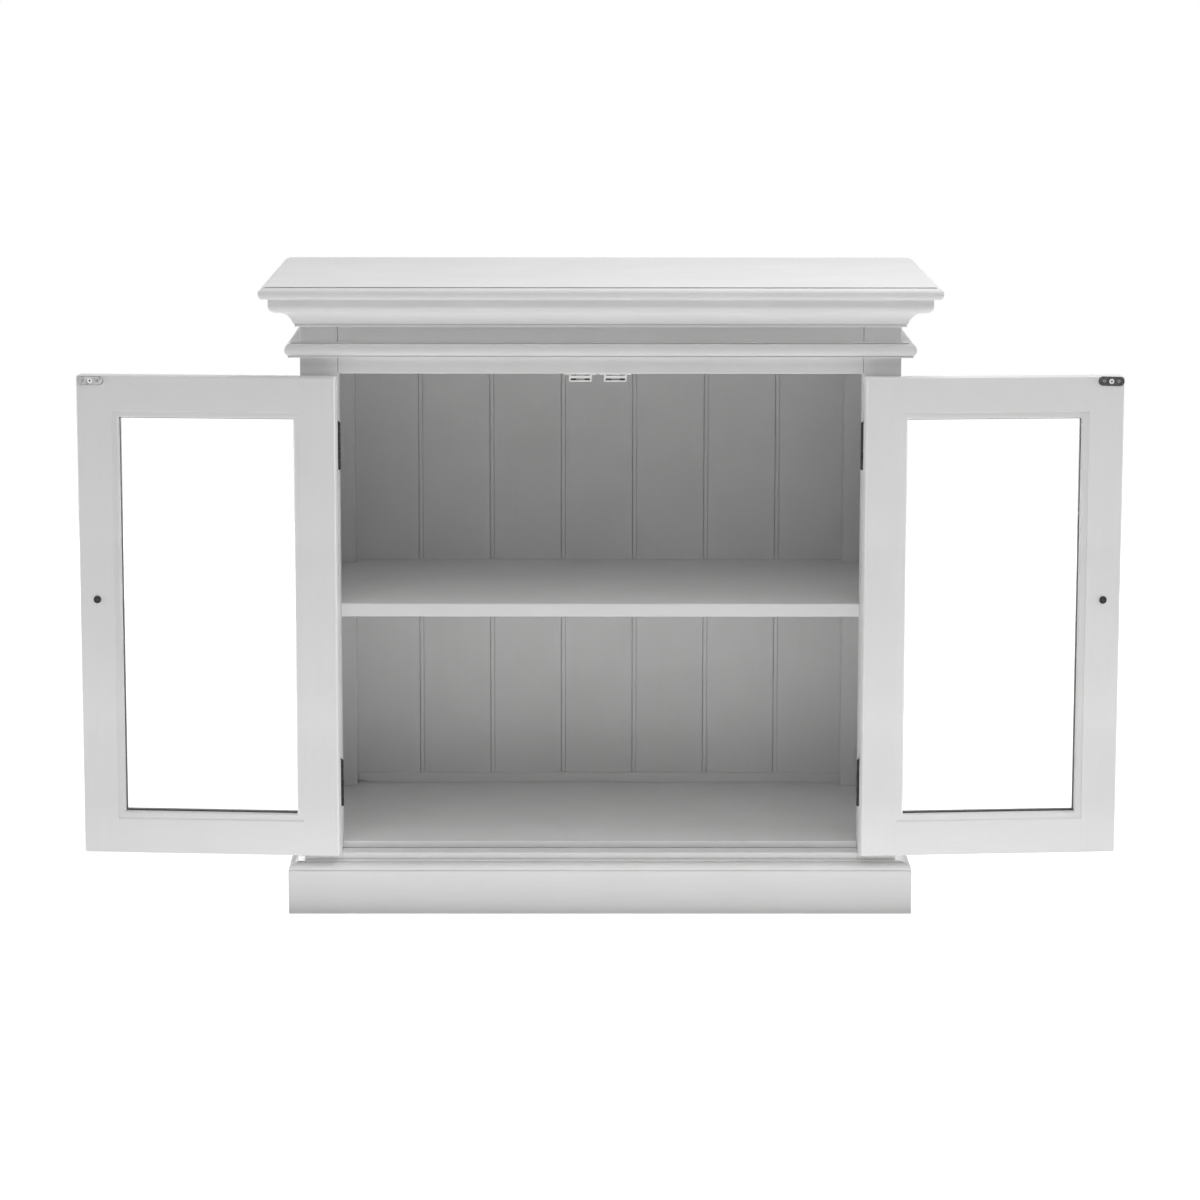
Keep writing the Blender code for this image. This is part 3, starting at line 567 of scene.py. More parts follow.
def pull(bm: Mesh, faces: Sequence[MeshFace], push: Vector) -> None:
    """Extrude some faces as one; the old ones stay where they are."""
    pulled = bmesh.ops.extrude_face_region(bm, geom=faces)["geom"]
    moved = [item for item in pulled if isinstance(item, bmesh.types.BMVert)]
    bmesh.ops.translate(bm, verts=moved, vec=push)


def prism(outline: Sequence[Vector], push: Vector) -> Mesh:
    """Extrude a flat outline to a closed solid.

    Args:
        outline: The corners, in order.
        push: Where the far end goes.

    Returns:
        The mesh.
    """
    bm = bmesh.new()
    face = bm.faces.new([bm.verts.new(corner) for corner in outline])
    pull(bm, [face], push)
    return bm


def upright(outline: Sequence[Point], low: float, high: float) -> Mesh:
    """A solid on an outline of (x, y) points, from one height to another."""
    return prism([Vector((x, y, low)) for x, y in outline], Vector((0, 0, high - low)))


def slice_at(bm: Mesh, axis: int, value: float) -> None:
    """Cut all faces that cross a plane, without parting them."""
    normal = Vector((0, 0, 0))
    normal[axis] = 1
    bmesh.ops.bisect_plane(bm, geom=bm.verts[:] + bm.edges[:] + bm.faces[:],
                           plane_co=normal * value, plane_no=normal)


def pulled_ring(levels: Sequence[Sequence[Vector]], shut: bool) -> Mesh:
    """Extrude a ring of corners through a row of levels.

    Args:
        levels: The corners of each level, in the same order.
        shut: Whether the last level joins the first, as in a frame. Otherwise the
            two ends are filled.

    Returns:
        The mesh.
    """
    bm = bmesh.new()
    corners = [bm.verts.new(corner) for corner in levels[0]]
    first = [bm.edges.new(pair) for pair in zip(corners, corners[1:] + corners[:1])]
    ring = first
    for level in list(levels[1:]) + ([levels[0]] if shut else []):
        pulled = bmesh.ops.extrude_edge_only(bm, edges=ring)["geom"]
        fresh = {item for item in pulled if isinstance(item, bmesh.types.BMVert)}
        corners = [next(edge.other_vert(corner) for edge in corner.link_edges
                        if edge.other_vert(corner) in fresh) for corner in corners]
        for vert, place in zip(corners, level):
            vert.co = place
        ring = [edge for edge in bm.edges if all(vert in fresh for vert in edge.verts)]
    if shut:
        bmesh.ops.remove_doubles(bm, verts=bm.verts, dist=SAME_POINT)
    else:
        bmesh.ops.edgenet_fill(bm, edges=first)
        bmesh.ops.edgenet_fill(bm, edges=ring)
    return bm


def turned(profile: Sequence[Point], steps: int) -> Mesh:
    """Spin a profile of (radius, height) points round Z.

    Args:
        profile: Points from one end of the axis to the other.
        steps: Faces round the axis.

    Returns:
        The closed mesh.
    """
    bm = bmesh.new()
    verts = [bm.verts.new((radius, 0.0, height)) for radius, height in profile]
    edges = [bm.edges.new(pair) for pair in zip(verts, verts[1:])]
    bmesh.ops.spin(bm, geom=verts + edges, cent=(0, 0, 0), axis=(0, 0, 1), angle=math.tau,
                   steps=steps, use_merge=True, dvec=(0, 0, 0))
    bmesh.ops.remove_doubles(bm, verts=bm.verts, dist=SAME_POINT)
    bmesh.ops.dissolve_degenerate(bm, dist=NO_LENGTH, edges=bm.edges)
    return bm


def arc(centre: Point, radii: Point, start: float, end: float, steps: int) -> list[Point]:
    """Points of an elliptical arc.

    Args:
        centre: Middle of the ellipse.
        radii: Its two half axes.
        start: First angle in degrees.
        end: Last angle.
        steps: Spaces between points.

    Returns:
        The points.
    """
    points = []
    for step in range(steps + 1):
        angle = math.radians(start + (end - start) * step / steps)
        points.append((centre[0] + radii[0] * math.cos(angle),
                       centre[1] + radii[1] * math.sin(angle)))
    return points


def quarter(centre: Point, radius: float, start: float, steps: int) -> list[Point]:
    """Points of a quarter circle, anticlockwise from an angle in degrees."""
    return arc(centre, (radius, radius), start, start + 90, steps)


def facing(direction: Vector, origin: Vector) -> Matrix:
    """A matrix that turns +Z to a direction and moves it to a point."""
    turn = Vector((0, 0, 1)).rotation_difference(direction.normalized())
    return Matrix.Translation(origin) @ turn.to_matrix().to_4x4()


def merge_into(target: Mesh, extra: Mesh, matrix: Optional[Matrix] = None) -> None:
    """Add one mesh to another and free it.

    Args:
        target: The mesh that grows.
        extra: The mesh that is added.
        matrix: Where it goes.
    """
    if matrix is not None:
        bmesh.ops.transform(extra, matrix=matrix, verts=extra.verts)
    carrier = bpy.data.meshes.new("carrier")
    extra.to_mesh(carrier)
    extra.free()
    target.from_mesh(carrier)
    bpy.data.meshes.remove(carrier)


@dataclass
class Bench:
    """Turns meshes into finished pieces and keeps count of them."""

    finishes: Finishes
    made: list[str] = field(default_factory=list)

    def finish(self, name: str, bm: Mesh, material: Material, body: str,
               stands_for: Sequence[str] = (),
               place: Optional[Matrix] = None) -> bpy.types.Object:
        """Make one piece.

        Args:
            name: The piece's name.
            bm: Its mesh, which is freed.
            material: Its material.
            body: The CAD body that it rides on.
            stands_for: CAD nodes that it replaces.
            place: Turns the mesh to its place at rest.

        Returns:
            The new object.
        """
        if place is not None:
            bmesh.ops.transform(bm, matrix=place, verts=bm.verts)
        bmesh.ops.recalc_face_normals(bm, faces=bm.faces)
        mesh = bpy.data.meshes.new(name)
        bm.to_mesh(mesh)
        bm.free()
        mesh.shade_smooth()
        mesh.set_sharp_from_angle(angle=CREASE)
        mesh.materials.append(material)
        piece = bpy.data.objects.new(name, mesh)
        bpy.context.scene.collection.objects.link(piece)
        flat = piece.modifiers.new("flat_faces", "WEIGHTED_NORMAL")
        flat.keep_sharp = True
        flat.weight = 100
        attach(piece, body)
        if stands_for:
            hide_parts(*stands_for)
        self.made.append(name)
        return piece

    def paint(self, node: str, bm: Mesh, grain: Grain, body: str = "cabinet",
              place: Optional[Matrix] = None) -> None:
        """Make a painted piece that stands for one CAD node.

        Args:
            node: The CAD node.
            bm: The piece's mesh, which is freed.
            grain: Direction of its brush strokes.
            body: The CAD body that it rides on.
            place: Turns the mesh to its place at rest.
        """
        self.finish("painted_" + node, bm, self.finishes.paint[grain], body,
                    [node], place)

    def dress(self, node: str, material: Material) -> None:
        """Give a kept CAD node its better material."""
        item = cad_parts[node]
        if not item.material_slots:
            item.data.materials.append(material)
        for slot in item.material_slots:
            slot.material = material
        self.made.append(node)


# Woodwork


@dataclass(frozen=True)
class Nose:
    """Moulded edge of a thin board: a bead, a fine slot over it and a lip on top."""

    reach: float
    step: float = 0.0014
    quirk: float = 0.0008
    slot_depth: float = 0.0030
    lip: float = 0.0004
    ease: float = 0.0001
    steps: int = 22

    def outline(self, low: float, high: float) -> list[Point]:
        """Outline of the edge: (inset from the tip, height) points.

        Args:
            low: Height of the bead's underside.
            high: Height of the board's top.

        Returns:
            The points, from the underside up.
        """
        bead_top = high - self.step
        half = (bead_top - low) / 2
        slot = self.reach + self.slot_depth
        wall = self.reach + self.quirk
        corner = self.lip / 5
        points = arc((self.reach, low + half), (-self.reach, half), -90, 90, self.steps)
        return points + [(self.reach + 3 * self.ease, bead_top - 2 * self.ease),
                         (slot, bead_top - 4 * self.ease), (slot, high - self.lip - self.ease),
                         (wall + self.ease, high - self.lip), (wall, high - 4 * corner),
                         (wall + corner, high - corner), (wall + self.lip, high)]


@dataclass
class TopBoard:
    """The top board, moulded on three edges and sawn off flat at the back."""

    nose: Nose = Nose(0.0072)

    def build(self, bench: Bench) -> None:
        """Make the board from a ring of four corners at each height of its nose."""
        low, high = corners_of("top_board")
        levels = []
        for inset, level in self.nose.outline(low.z, high.z):
            left, right, front = low.x + inset, high.x - inset, low.y + inset
            levels.append([Vector((left, front, level)), Vector((right, front, level)),
                           Vector((right, high.y, level)), Vector((left, high.y, level))])
        bm = pulled_ring(levels, False)
        folded = [face for face in bm.faces
                  if all(abs(vert.co.y - high.y) < SAME_POINT for vert in face.verts)]
        bmesh.ops.delete(bm, geom=folded, context="FACES")
        rim = [edge for edge in bm.edges if edge.is_boundary]
        bmesh.ops.contextual_create(bm, geom=rim)
        bench.paint("top_board", bm, Grain.ALONG_X)


@dataclass
class Moulding:
    """A moulding planted on the body in three mitred lengths."""

    node: str
    reach: float
    mitre_ease: float = 0.00008

    def profile(self, low: float, high: float) -> list[Point]:
        """Outline of the section: (reach from the body, height) points.

        Args:
            low: Height of the underside.
            high: Height of the top.

        Returns:
            The outline, from the body's foot round to its top.
        """
        raise NotImplementedError

    def length(self, run: Run, low: float, high: float) -> Mesh:
        """One mitred length.

        Args:
            run: Which length.
            low: Height of the underside.
            high: Height of the top.

        Returns:
            Its mesh.
        """
        points = self.profile(low, high)
        half, front, back = CARCASS.body_half, CARCASS.front_y, CARCASS.back_y
        if run is Run.FRONT:
            bm = prism([Vector((-half, front - reach, z)) for reach, z in points],
                       Vector((2 * half, 0, 0)))
            for vert in bm.verts:
                vert.co.x += math.copysign(front - vert.co.y - self.mitre_ease, vert.co.x)
        else:
            bm = prism([Vector((run.value * (half + reach), front, z)) for reach, z in points],
                       Vector((0, back - front, 0)))
            for vert in bm.verts:
                if vert.co.y < 0:
                    vert.co.y -= abs(vert.co.x) - half - self.mitre_ease
        return bm

    def build(self, bench: Bench) -> None:
        """Make and dress the three lengths."""
        for run in Run:
            node = f"{self.node}_{run.name.lower()}"
            low, high = corners_of(node)
            grain = Grain.ALONG_X if run is Run.FRONT else Grain.ALONG_Y
            bench.paint(node, self.length(run, low.z, high.z), grain)


@dataclass
class Cornice(Moulding):
    """Flat face, a round that runs back under it, a hollow, a quirk and a square foot."""

    node: str = "cornice"
    reach: float = 0.0389
    face_height: float = 0.0085
    round_reach: float = 0.0127
    round_height: float = 0.0103
    upper_round: float = 0.0010
    hollow_reach: float = 0.0205
    hollow_height: float = 0.0259
    foot_reach: float = 0.0060
    foot_height: float = 0.0031
    foot_round: float = 0.0010
    quirk_height: float = 0.0008
    quirk_depth: float = 0.0012
    hollow_end: float = 92.0
    round_start: float = -88.0

    def profile(self, low: float, high: float) -> list[Point]:
        """Outline of the cornice, from its foot up."""
        face_low = high - self.face_height
        meeting = self.reach - self.round_reach
        centre = face_low - self.round_height - self.hollow_height
        foot_top = low + self.foot_height
        hollow_low = foot_top + self.quirk_height
        first = 180 - math.degrees(math.asin((hollow_low - centre) / self.hollow_height))
        groove = self.foot_reach - self.quirk_depth
        points = [(CARCASS.gap, low)]
        points += quarter((self.foot_reach - self.foot_round, low + self.foot_round),
                          self.foot_round, -90, 5)
        points += [(self.foot_reach, foot_top), (groove, foot_top), (groove, hollow_low)]
        points += arc((meeting + CARCASS.gap, centre), (self.hollow_reach, self.hollow_height),
                      first, self.hollow_end, 20)
        points += arc((meeting, face_low), (self.round_reach, self.round_height),
                      self.round_start, 0, 18)
        points += quarter((self.reach - self.upper_round, high - self.upper_round),
                          self.upper_round, 0, 5)
        return points + [(CARCASS.gap, high)]


@dataclass
class WaistMoulding(Moulding):
    """Thin slab: a bead nose with a fine slot over it and a small foot under it."""

    node: str = "waist_moulding"
    reach: float = 0.0190
    nose: Nose = Nose(0.0070)
    foot_reach: float = 0.0150
    foot_height: float = 0.0010
    foot_drop: float = 0.0010
    foot_arris: float = 0.0003

    def profile(self, low: float, high: float) -> list[Point]:
        """Outline of the waist moulding, from its foot up."""
        bead_low = low + self.foot_height
        foot_low = low - self.foot_drop
        points = [(CARCASS.gap, foot_low), (self.foot_reach - self.foot_arris, foot_low),
                  (self.foot_reach, foot_low + self.foot_arris), (self.foot_reach, bead_low)]
        points += [(self.reach - inset, z) for inset, z in self.nose.outline(bead_low, high)]
        return points + [(CARCASS.gap, high)]


@dataclass
class Plinth(Moulding):
    """Plinth board with a quirk, an ovolo, a slot and a narrow ledge."""

    node: str = "plinth"
    reach: float = 0.0215
    face_height: float = 0.0603
    ledge: float = 0.0100
    step: float = 0.0012
    arris: float = 0.0009
    quirk_height: float = 0.0008
    quirk_depth: float = 0.0014
    slot_height: float = 0.0008
    slot_depth: float = 0.0011
    lip: float = 0.0007
    ovolo_steps: int = 16

    def profile(self, low: float, high: float) -> list[Point]:
        """Outline of the plinth, from the ground up."""
        ovolo_low = self.face_height + self.step
        ovolo_high = high - self.lip - self.slot_height
        ovolo_start = self.ledge + self.step / 2
        edge = self.reach - self.step / 3
        face_top = self.face_height - self.quirk_height
        quirk, slot = edge - self.quirk_depth, self.ledge - self.slot_depth
        points = [(CARCASS.gap, low), (self.reach - self.arris, low)]
        points += quarter((self.reach - self.arris, low + self.arris), self.arris, -90, 3)[1:]
        points += [(self.reach, face_top - self.arris * 0.6),
                   (self.reach - self.arris / 2, face_top), (quirk, face_top),
                   (quirk, self.face_height), (edge, self.face_height)]
        points += arc((ovolo_start, ovolo_low), (edge - ovolo_start, ovolo_high - ovolo_low),
                      0, 90, self.ovolo_steps)
        return points + [(slot, ovolo_high), (slot, high - self.lip),
                         (self.ledge, high - self.lip), (self.ledge, high - self.arris / 2),
                         (self.ledge - self.arris / 2, high), (CARCASS.gap, high)]


@dataclass
class FrontFrame:
    """Front stiles and rails, flush on the face, crisp where they meet."""

    stile_arris: float = 0.0012
    rail_arris: float = 0.0016
    upper_joint: float = 0.0006
    lower_joint: float = 0.0003

    def build(self, bench: Bench) -> None:
        """Make the two stiles and the two rails."""
        for side, outer, inner in ((Side.LEFT, Face.LEFT, Face.RIGHT),
                                   (Side.RIGHT, Face.RIGHT, Face.LEFT)):
            node = f"{side.word}_front_stile"
            worn = [(outer, Face.FRONT), (inner, Face.BACK)]
            bench.paint(node, timber(*corners_of(node), worn, self.stile_arris), Grain.ALONG_Z)
        for node, worn, joint in (
                ("front_top_rail", [(Face.FRONT, Face.BOTTOM), (Face.BACK, Face.BOTTOM)],
                 self.upper_joint),
                ("front_bottom_rail", [(Face.FRONT, Face.TOP)], self.lower_joint)):
            low, high = corners_of(node)
            low.x = joint - CARCASS.opening_half
            high.x = CARCASS.opening_half - joint
            bench.paint(node, timber(low, high, worn, self.rail_arris), Grain.ALONG_X)


@dataclass
class Sides:
    """Rear posts, side rails and panels: the CAD nodes with fresh paint."""

    upright: tuple[str, ...] = ("rear_post", "side_panel")
    lengthwise: tuple[str, ...] = ("side_top_rail", "side_bottom_rail", "shelf_cleat")

    def build(self, bench: Bench) -> None:
        """Paint the nodes along their grain."""
        for side in Side:
            for names, grain in ((self.upright, Grain.ALONG_Z), (self.lengthwise, Grain.ALONG_Y)):
                for base in names:
                    bench.dress(f"{side.word}_{base}", bench.finishes.paint[grain])


@dataclass
class BackWall:
    """Tongue and groove boards and the strip at their foot."""

    boards: int = 7
    board_thickness: float = 0.010
    bead: float = 0.0054
    bead_depth: float = 0.0011
    bead_round: float = 0.0006
    quirk: float = 0.0008
    quirk_depth: float = 0.0016
    quirk_slant: float = 0.2
    quirk_lip_depth: float = 0.0002
    quirk_lip: float = 0.0003
    seam: float = 0.0006
    seam_arris: float = 0.0004
    tongue: float = 0.0030
    tongue_front: float = 0.0036
    tongue_back: float = 0.0066
    tongue_play: float = 0.0002
    notch_width: float = 0.0165
    notch_height: float = 0.0040
    notch_flat: float = 0.45
    strip_arris: float = 0.0012

    def outline(self, left: float, right: float, first: bool, last: bool) -> list[Point]:
        """Section of one board: (x, depth behind the face) points.

        Args:
            left: Its left edge.
            right: Its right edge.
            first: Whether it is the left board, which has no bead.
            last: Whether it is the right board, which has no tongue.

        Returns:
            The outline.
        """
        points = [(left, self.board_thickness)]
        if first:
            points += [(left, 0.0)]
        else:
            points += self.groove(left) + self.beaded_edge(left)
        edge = right if last else right - self.seam
        points += [(edge - self.seam_arris, 0.0), (edge, self.seam_arris)]
        if not last:
            tip = right + self.tongue
            points += [(edge, self.tongue_front), (tip, self.tongue_front),
                       (tip, self.tongue_back), (edge, self.tongue_back)]
        return points + [(edge, self.board_thickness)]

    def groove(self, left: float) -> list[Point]:
        """The groove that takes the next board's tongue, from the back forward."""
        end = left + self.tongue + self.tongue_play
        front = self.tongue_front - self.tongue_play
        back = self.tongue_back + self.tongue_play
        return [(left, back), (end, back), (end, front), (left, front)]

    def beaded_edge(self, left: float) -> list[Point]:
        """The bead along a board's left edge and the quirk beside it."""
        end = left + self.bead
        points = []
        for middle, start in ((left + self.bead_round, 180), (end - self.bead_round, 90)):
            points += [(x, self.bead_depth - rise) for x, rise in
                       arc((middle, 0.0), (self.bead_round, self.bead_depth),
                           start, start - 90, 6)]
        far = end + self.quirk
        return points + [(end + self.quirk * self.quirk_slant, self.quirk_depth),
                         (end + self.quirk * (1 - self.quirk_slant), self.quirk_depth),
                         (far, self.quirk_lip_depth), (far + self.quirk_lip, 0.0)]

    def build(self, bench: Bench) -> None:
        """Make the boards and the strip."""
        nodes = [f"back_board_{number}" for number in range(1, self.boards + 1)]
        boxes = [corners_of(node) for node in nodes]
        edges = [low.x for low, _ in boxes] + [boxes[-1][1].x]
        for index, (node, (low, high)) in enumerate(zip(nodes, boxes)):
            section = self.outline(edges[index], edges[index + 1], index == 0,
                                   index == self.boards - 1)
            bm = upright([(x, low.y + depth) for x, depth in section], low.z, high.z)
            bench.paint(node, bm, Grain.ALONG_Z)
        self.build_strip(bench)

    def build_strip(self, bench: Bench) -> None:
        """Strip along the floor, chipped at its left end."""
        low, high = corners_of("back_bottom_cleat")
        chip = low.z + self.notch_height
        outline = [(low.x, chip), (low.x + self.notch_width * self.notch_flat, chip),
                   (low.x + self.notch_width, low.z), (high.x, low.z), (high.x, high.z),
                   (low.x, high.z)]
        bm = prism([Vector((x, low.y, z)) for x, z in outline], Vector((0, high.y - low.y, 0)))
        soften(bm, edges_at(bm, y=low.y, z=high.z), self.strip_arris, 3)
        bench.paint("back_bottom_cleat", bm, Grain.ALONG_X)


@dataclass
class FloorAndShelf:
    """The floor board and the shelf, both notched round the posts."""

    frame_back: float = -0.145
    rear_post_front: float = 0.195
    shelf_arris: float = 0.0017
    floor_arris: float = 0.0012

    def notched(self, low: Vector, high: Vector) -> Mesh:
        """A board that passes between both pairs of posts.

        Args:
            low: Lowest corner.
            high: Highest corner.

        Returns:
            Its mesh.
        """
        narrow = CARCASS.opening_half - CARCASS.gap
        shoulder = self.frame_back + CARCASS.gap
        rear = self.rear_post_front - CARCASS.gap
        half = [(narrow, low.y), (narrow, shoulder), (high.x, shoulder), (high.x, rear),
                (narrow, rear), (narrow, high.y)]
        return upright(half + [(-x, y) for x, y in reversed(half)], low.z, high.z)

    def build(self, bench: Bench) -> None:
        """Make both boards."""
        for node, arris in (("shelf", self.shelf_arris), ("floor_board", self.floor_arris)):
            low, high = corners_of(node)
            bm = self.notched(low, high)
            soften(bm, edges_at(bm, y=low.y, z=low.z) + edges_at(bm, y=low.y, z=high.z), arris, 4)
            bench.paint(node, bm, Grain.ALONG_X)


# Hardware


@dataclass(frozen=True)
class Screw:
    """A screw head with a cross recess, drawn as a dark cross of painted shade."""

    radius: float
    height: float
    recess: float = 0.0009
    slot_length: float = 0.62
    slot_width: float = 0.17
    rim_share: float = 0.30
    cross_level: float = 1.01
    cross_rise: float = 0.00005
    dome_angles: tuple[int, ...] = (12, 26, 42, 58, 74)
    steps: int = 28

    def head(self) -> Mesh:
        """The head, looking up +Z with its seat at the origin."""
        rim = self.height * self.rim_share
        profile = [(0.0, 0.0), (self.radius, 0.0), (self.radius, rim)]
        for angle in map(math.radians, self.dome_angles):
            profile.append((self.radius * math.cos(angle),
                            rim + (self.height - rim) * math.sin(angle)))
        return turned(profile + [(0.0, self.height)], self.steps)

    def cross(self) -> Mesh:
        """The dark cross that shows in the head: painted shade standing for the recess."""
        bm = bmesh.new()
        long = self.radius * self.slot_length
        wide = self.radius * self.slot_width
        top = self.height * self.cross_level
        for half_x, half_y in ((long, wide), (wide, long)):
            merge_into(bm, block(Vector((-half_x, -half_y, top - self.recess)),
                                 Vector((half_x, half_y, top + self.cross_rise))))
        return bm

    def at(self, seats: Sequence[Matrix]) -> tuple[Mesh, Mesh]:
        """The heads and the painted recess shades of a screw at every seat."""
        heads, recess_shades = bmesh.new(), bmesh.new()
        for seat in seats:
            merge_into(heads, self.head(), seat)
            merge_into(recess_shades, self.cross(), seat)
        return heads, recess_shades


@dataclass
class Catches:
    """Two magnetic catches under the top rail."""

    ear_length: float = 0.0450
    ear_thickness: float = 0.0042
    ear_depth: float = 0.0105
    ear_setback: float = 0.0036
    ear_corner: float = 0.0035
    ear_arris: float = 0.0007
    case_length: float = 0.0306
    case_round: float = 0.0013
    case_sunk: float = 0.0004
    wall: float = 0.0023
    slot_height: float = 0.0026
    slot_depth: float = 0.0060
    slot_rise: float = 0.0036
    slot_drop: float = 0.0038
    pole_setback: float = 0.0016
    pole_play: float = 0.0002
    pole_inner: float = 0.45
    pole_height: float = 0.42
    pole_arris: float = 0.0001
    screw_sunk: float = 0.0001
    screw: Screw = Screw(0.0026, 0.0009)

    def build(self, bench: Bench) -> None:
        """Make both catches, their pole plates and their screws."""
        for side in Side:
            node = f"{side.word}_catch"
            low, high = corners_of(node)
            self.case(bench, node, low, high)
            self.poles(bench, node, low, high)
            self.screws(bench, node, low, high)

    def levels(self, low: Vector, high: Vector) -> tuple[float, float]:
        """Heights of the lower and the upper slot."""
        return low.z + self.slot_rise, high.z - self.slot_drop

    def case(self, bench: Bench, node: str, low: Vector, high: Vector) -> None:
        """The moulded case with two slots across its front, and its ears."""
        centre = (low.x + high.x) / 2
        left, right = centre - self.case_length / 2, centre + self.case_length / 2
        levels = self.levels(low, high)
        bm = block(Vector((left, low.y, low.z)), Vector((right, high.y, high.z - self.case_sunk)))
        soften(bm, edges_along(bm, 1), self.case_round, 5)
        for level in levels:
            slice_at(bm, 2, level - self.slot_height / 2)
            slice_at(bm, 2, level + self.slot_height / 2)
        slice_at(bm, 0, left + self.wall)
        slice_at(bm, 0, right - self.wall)

        def in_slot(spot: Vector) -> bool:
            """Whether a face's middle lies inside one of the slots."""
            return (abs(spot.x - centre) < self.case_length / 2 - self.wall
                    and any(abs(spot.z - level) < self.slot_height / 4 for level in levels))

        for face in [face for face in bm.faces if face.normal.y < -FACES_ONE_WAY
                     and in_slot(face.calc_center_median())]:
            pull(bm, [face], Vector((0, self.slot_depth, 0)))
            bmesh.ops.delete(bm, geom=[face], context="FACES_ONLY")
        back, under = high.y - self.ear_setback, high.z - self.ear_thickness
        ears = block(Vector((low.x, back - self.ear_depth, under)),
                     Vector((high.x, back, high.z)))
        soften(ears, edges_along(ears, 2), self.ear_corner, 5)
        soften(ears, edges_at(ears, z=under), self.ear_arris, 2)
        merge_into(bm, ears)
        bench.finish("moulded_" + node, bm, bench.finishes.plastic, "cabinet",
                     [node])

    def poles(self, bench: Bench, node: str, low: Vector, high: Vector) -> None:
        """Steel pole plates that end inside the slots, two in each."""
        centre = (low.x + high.x) / 2
        bm = bmesh.new()
        outer = self.case_length / 2 - self.wall - self.pole_play
        front, back = low.y + self.pole_setback, low.y + self.slot_depth - self.pole_play
        half = self.slot_height * self.pole_height
        for level in self.levels(low, high):
            for sign in (-1, 1):
                ends = sorted((centre + sign * outer * self.pole_inner, centre + sign * outer))
                plate = block(Vector((ends[0], front, level - half)),
                              Vector((ends[1], back, level + half)))
                soften(plate, plate.edges[:], self.pole_arris, 1)
                merge_into(bm, plate)
        bench.finish(node + "_pole_plates", bm, bench.finishes.pole_steel, "cabinet")

    def screws(self, bench: Bench, node: str, low: Vector, high: Vector) -> None:
        """A screw up through each ear."""
        centre = (low.x + high.x) / 2
        offset = (self.case_length + self.ear_length) / 4
        y = high.y - self.ear_setback - self.ear_depth / 2
        z = high.z - self.ear_thickness + self.screw_sunk
        heads, slots = self.screw.at([facing(Vector((0, 0, -1)), Vector((x, y, z)))
                                      for x in (centre - offset, centre + offset)])
        # The dark crosses in the heads are painted shade for the screws' recesses.
        for name, bm, metal in (("_screws", heads, bench.finishes.bright_zinc),
                                ("_screw_slots", slots, bench.finishes.pole_steel)):
            bench.finish(node + name, bm, metal, "cabinet")


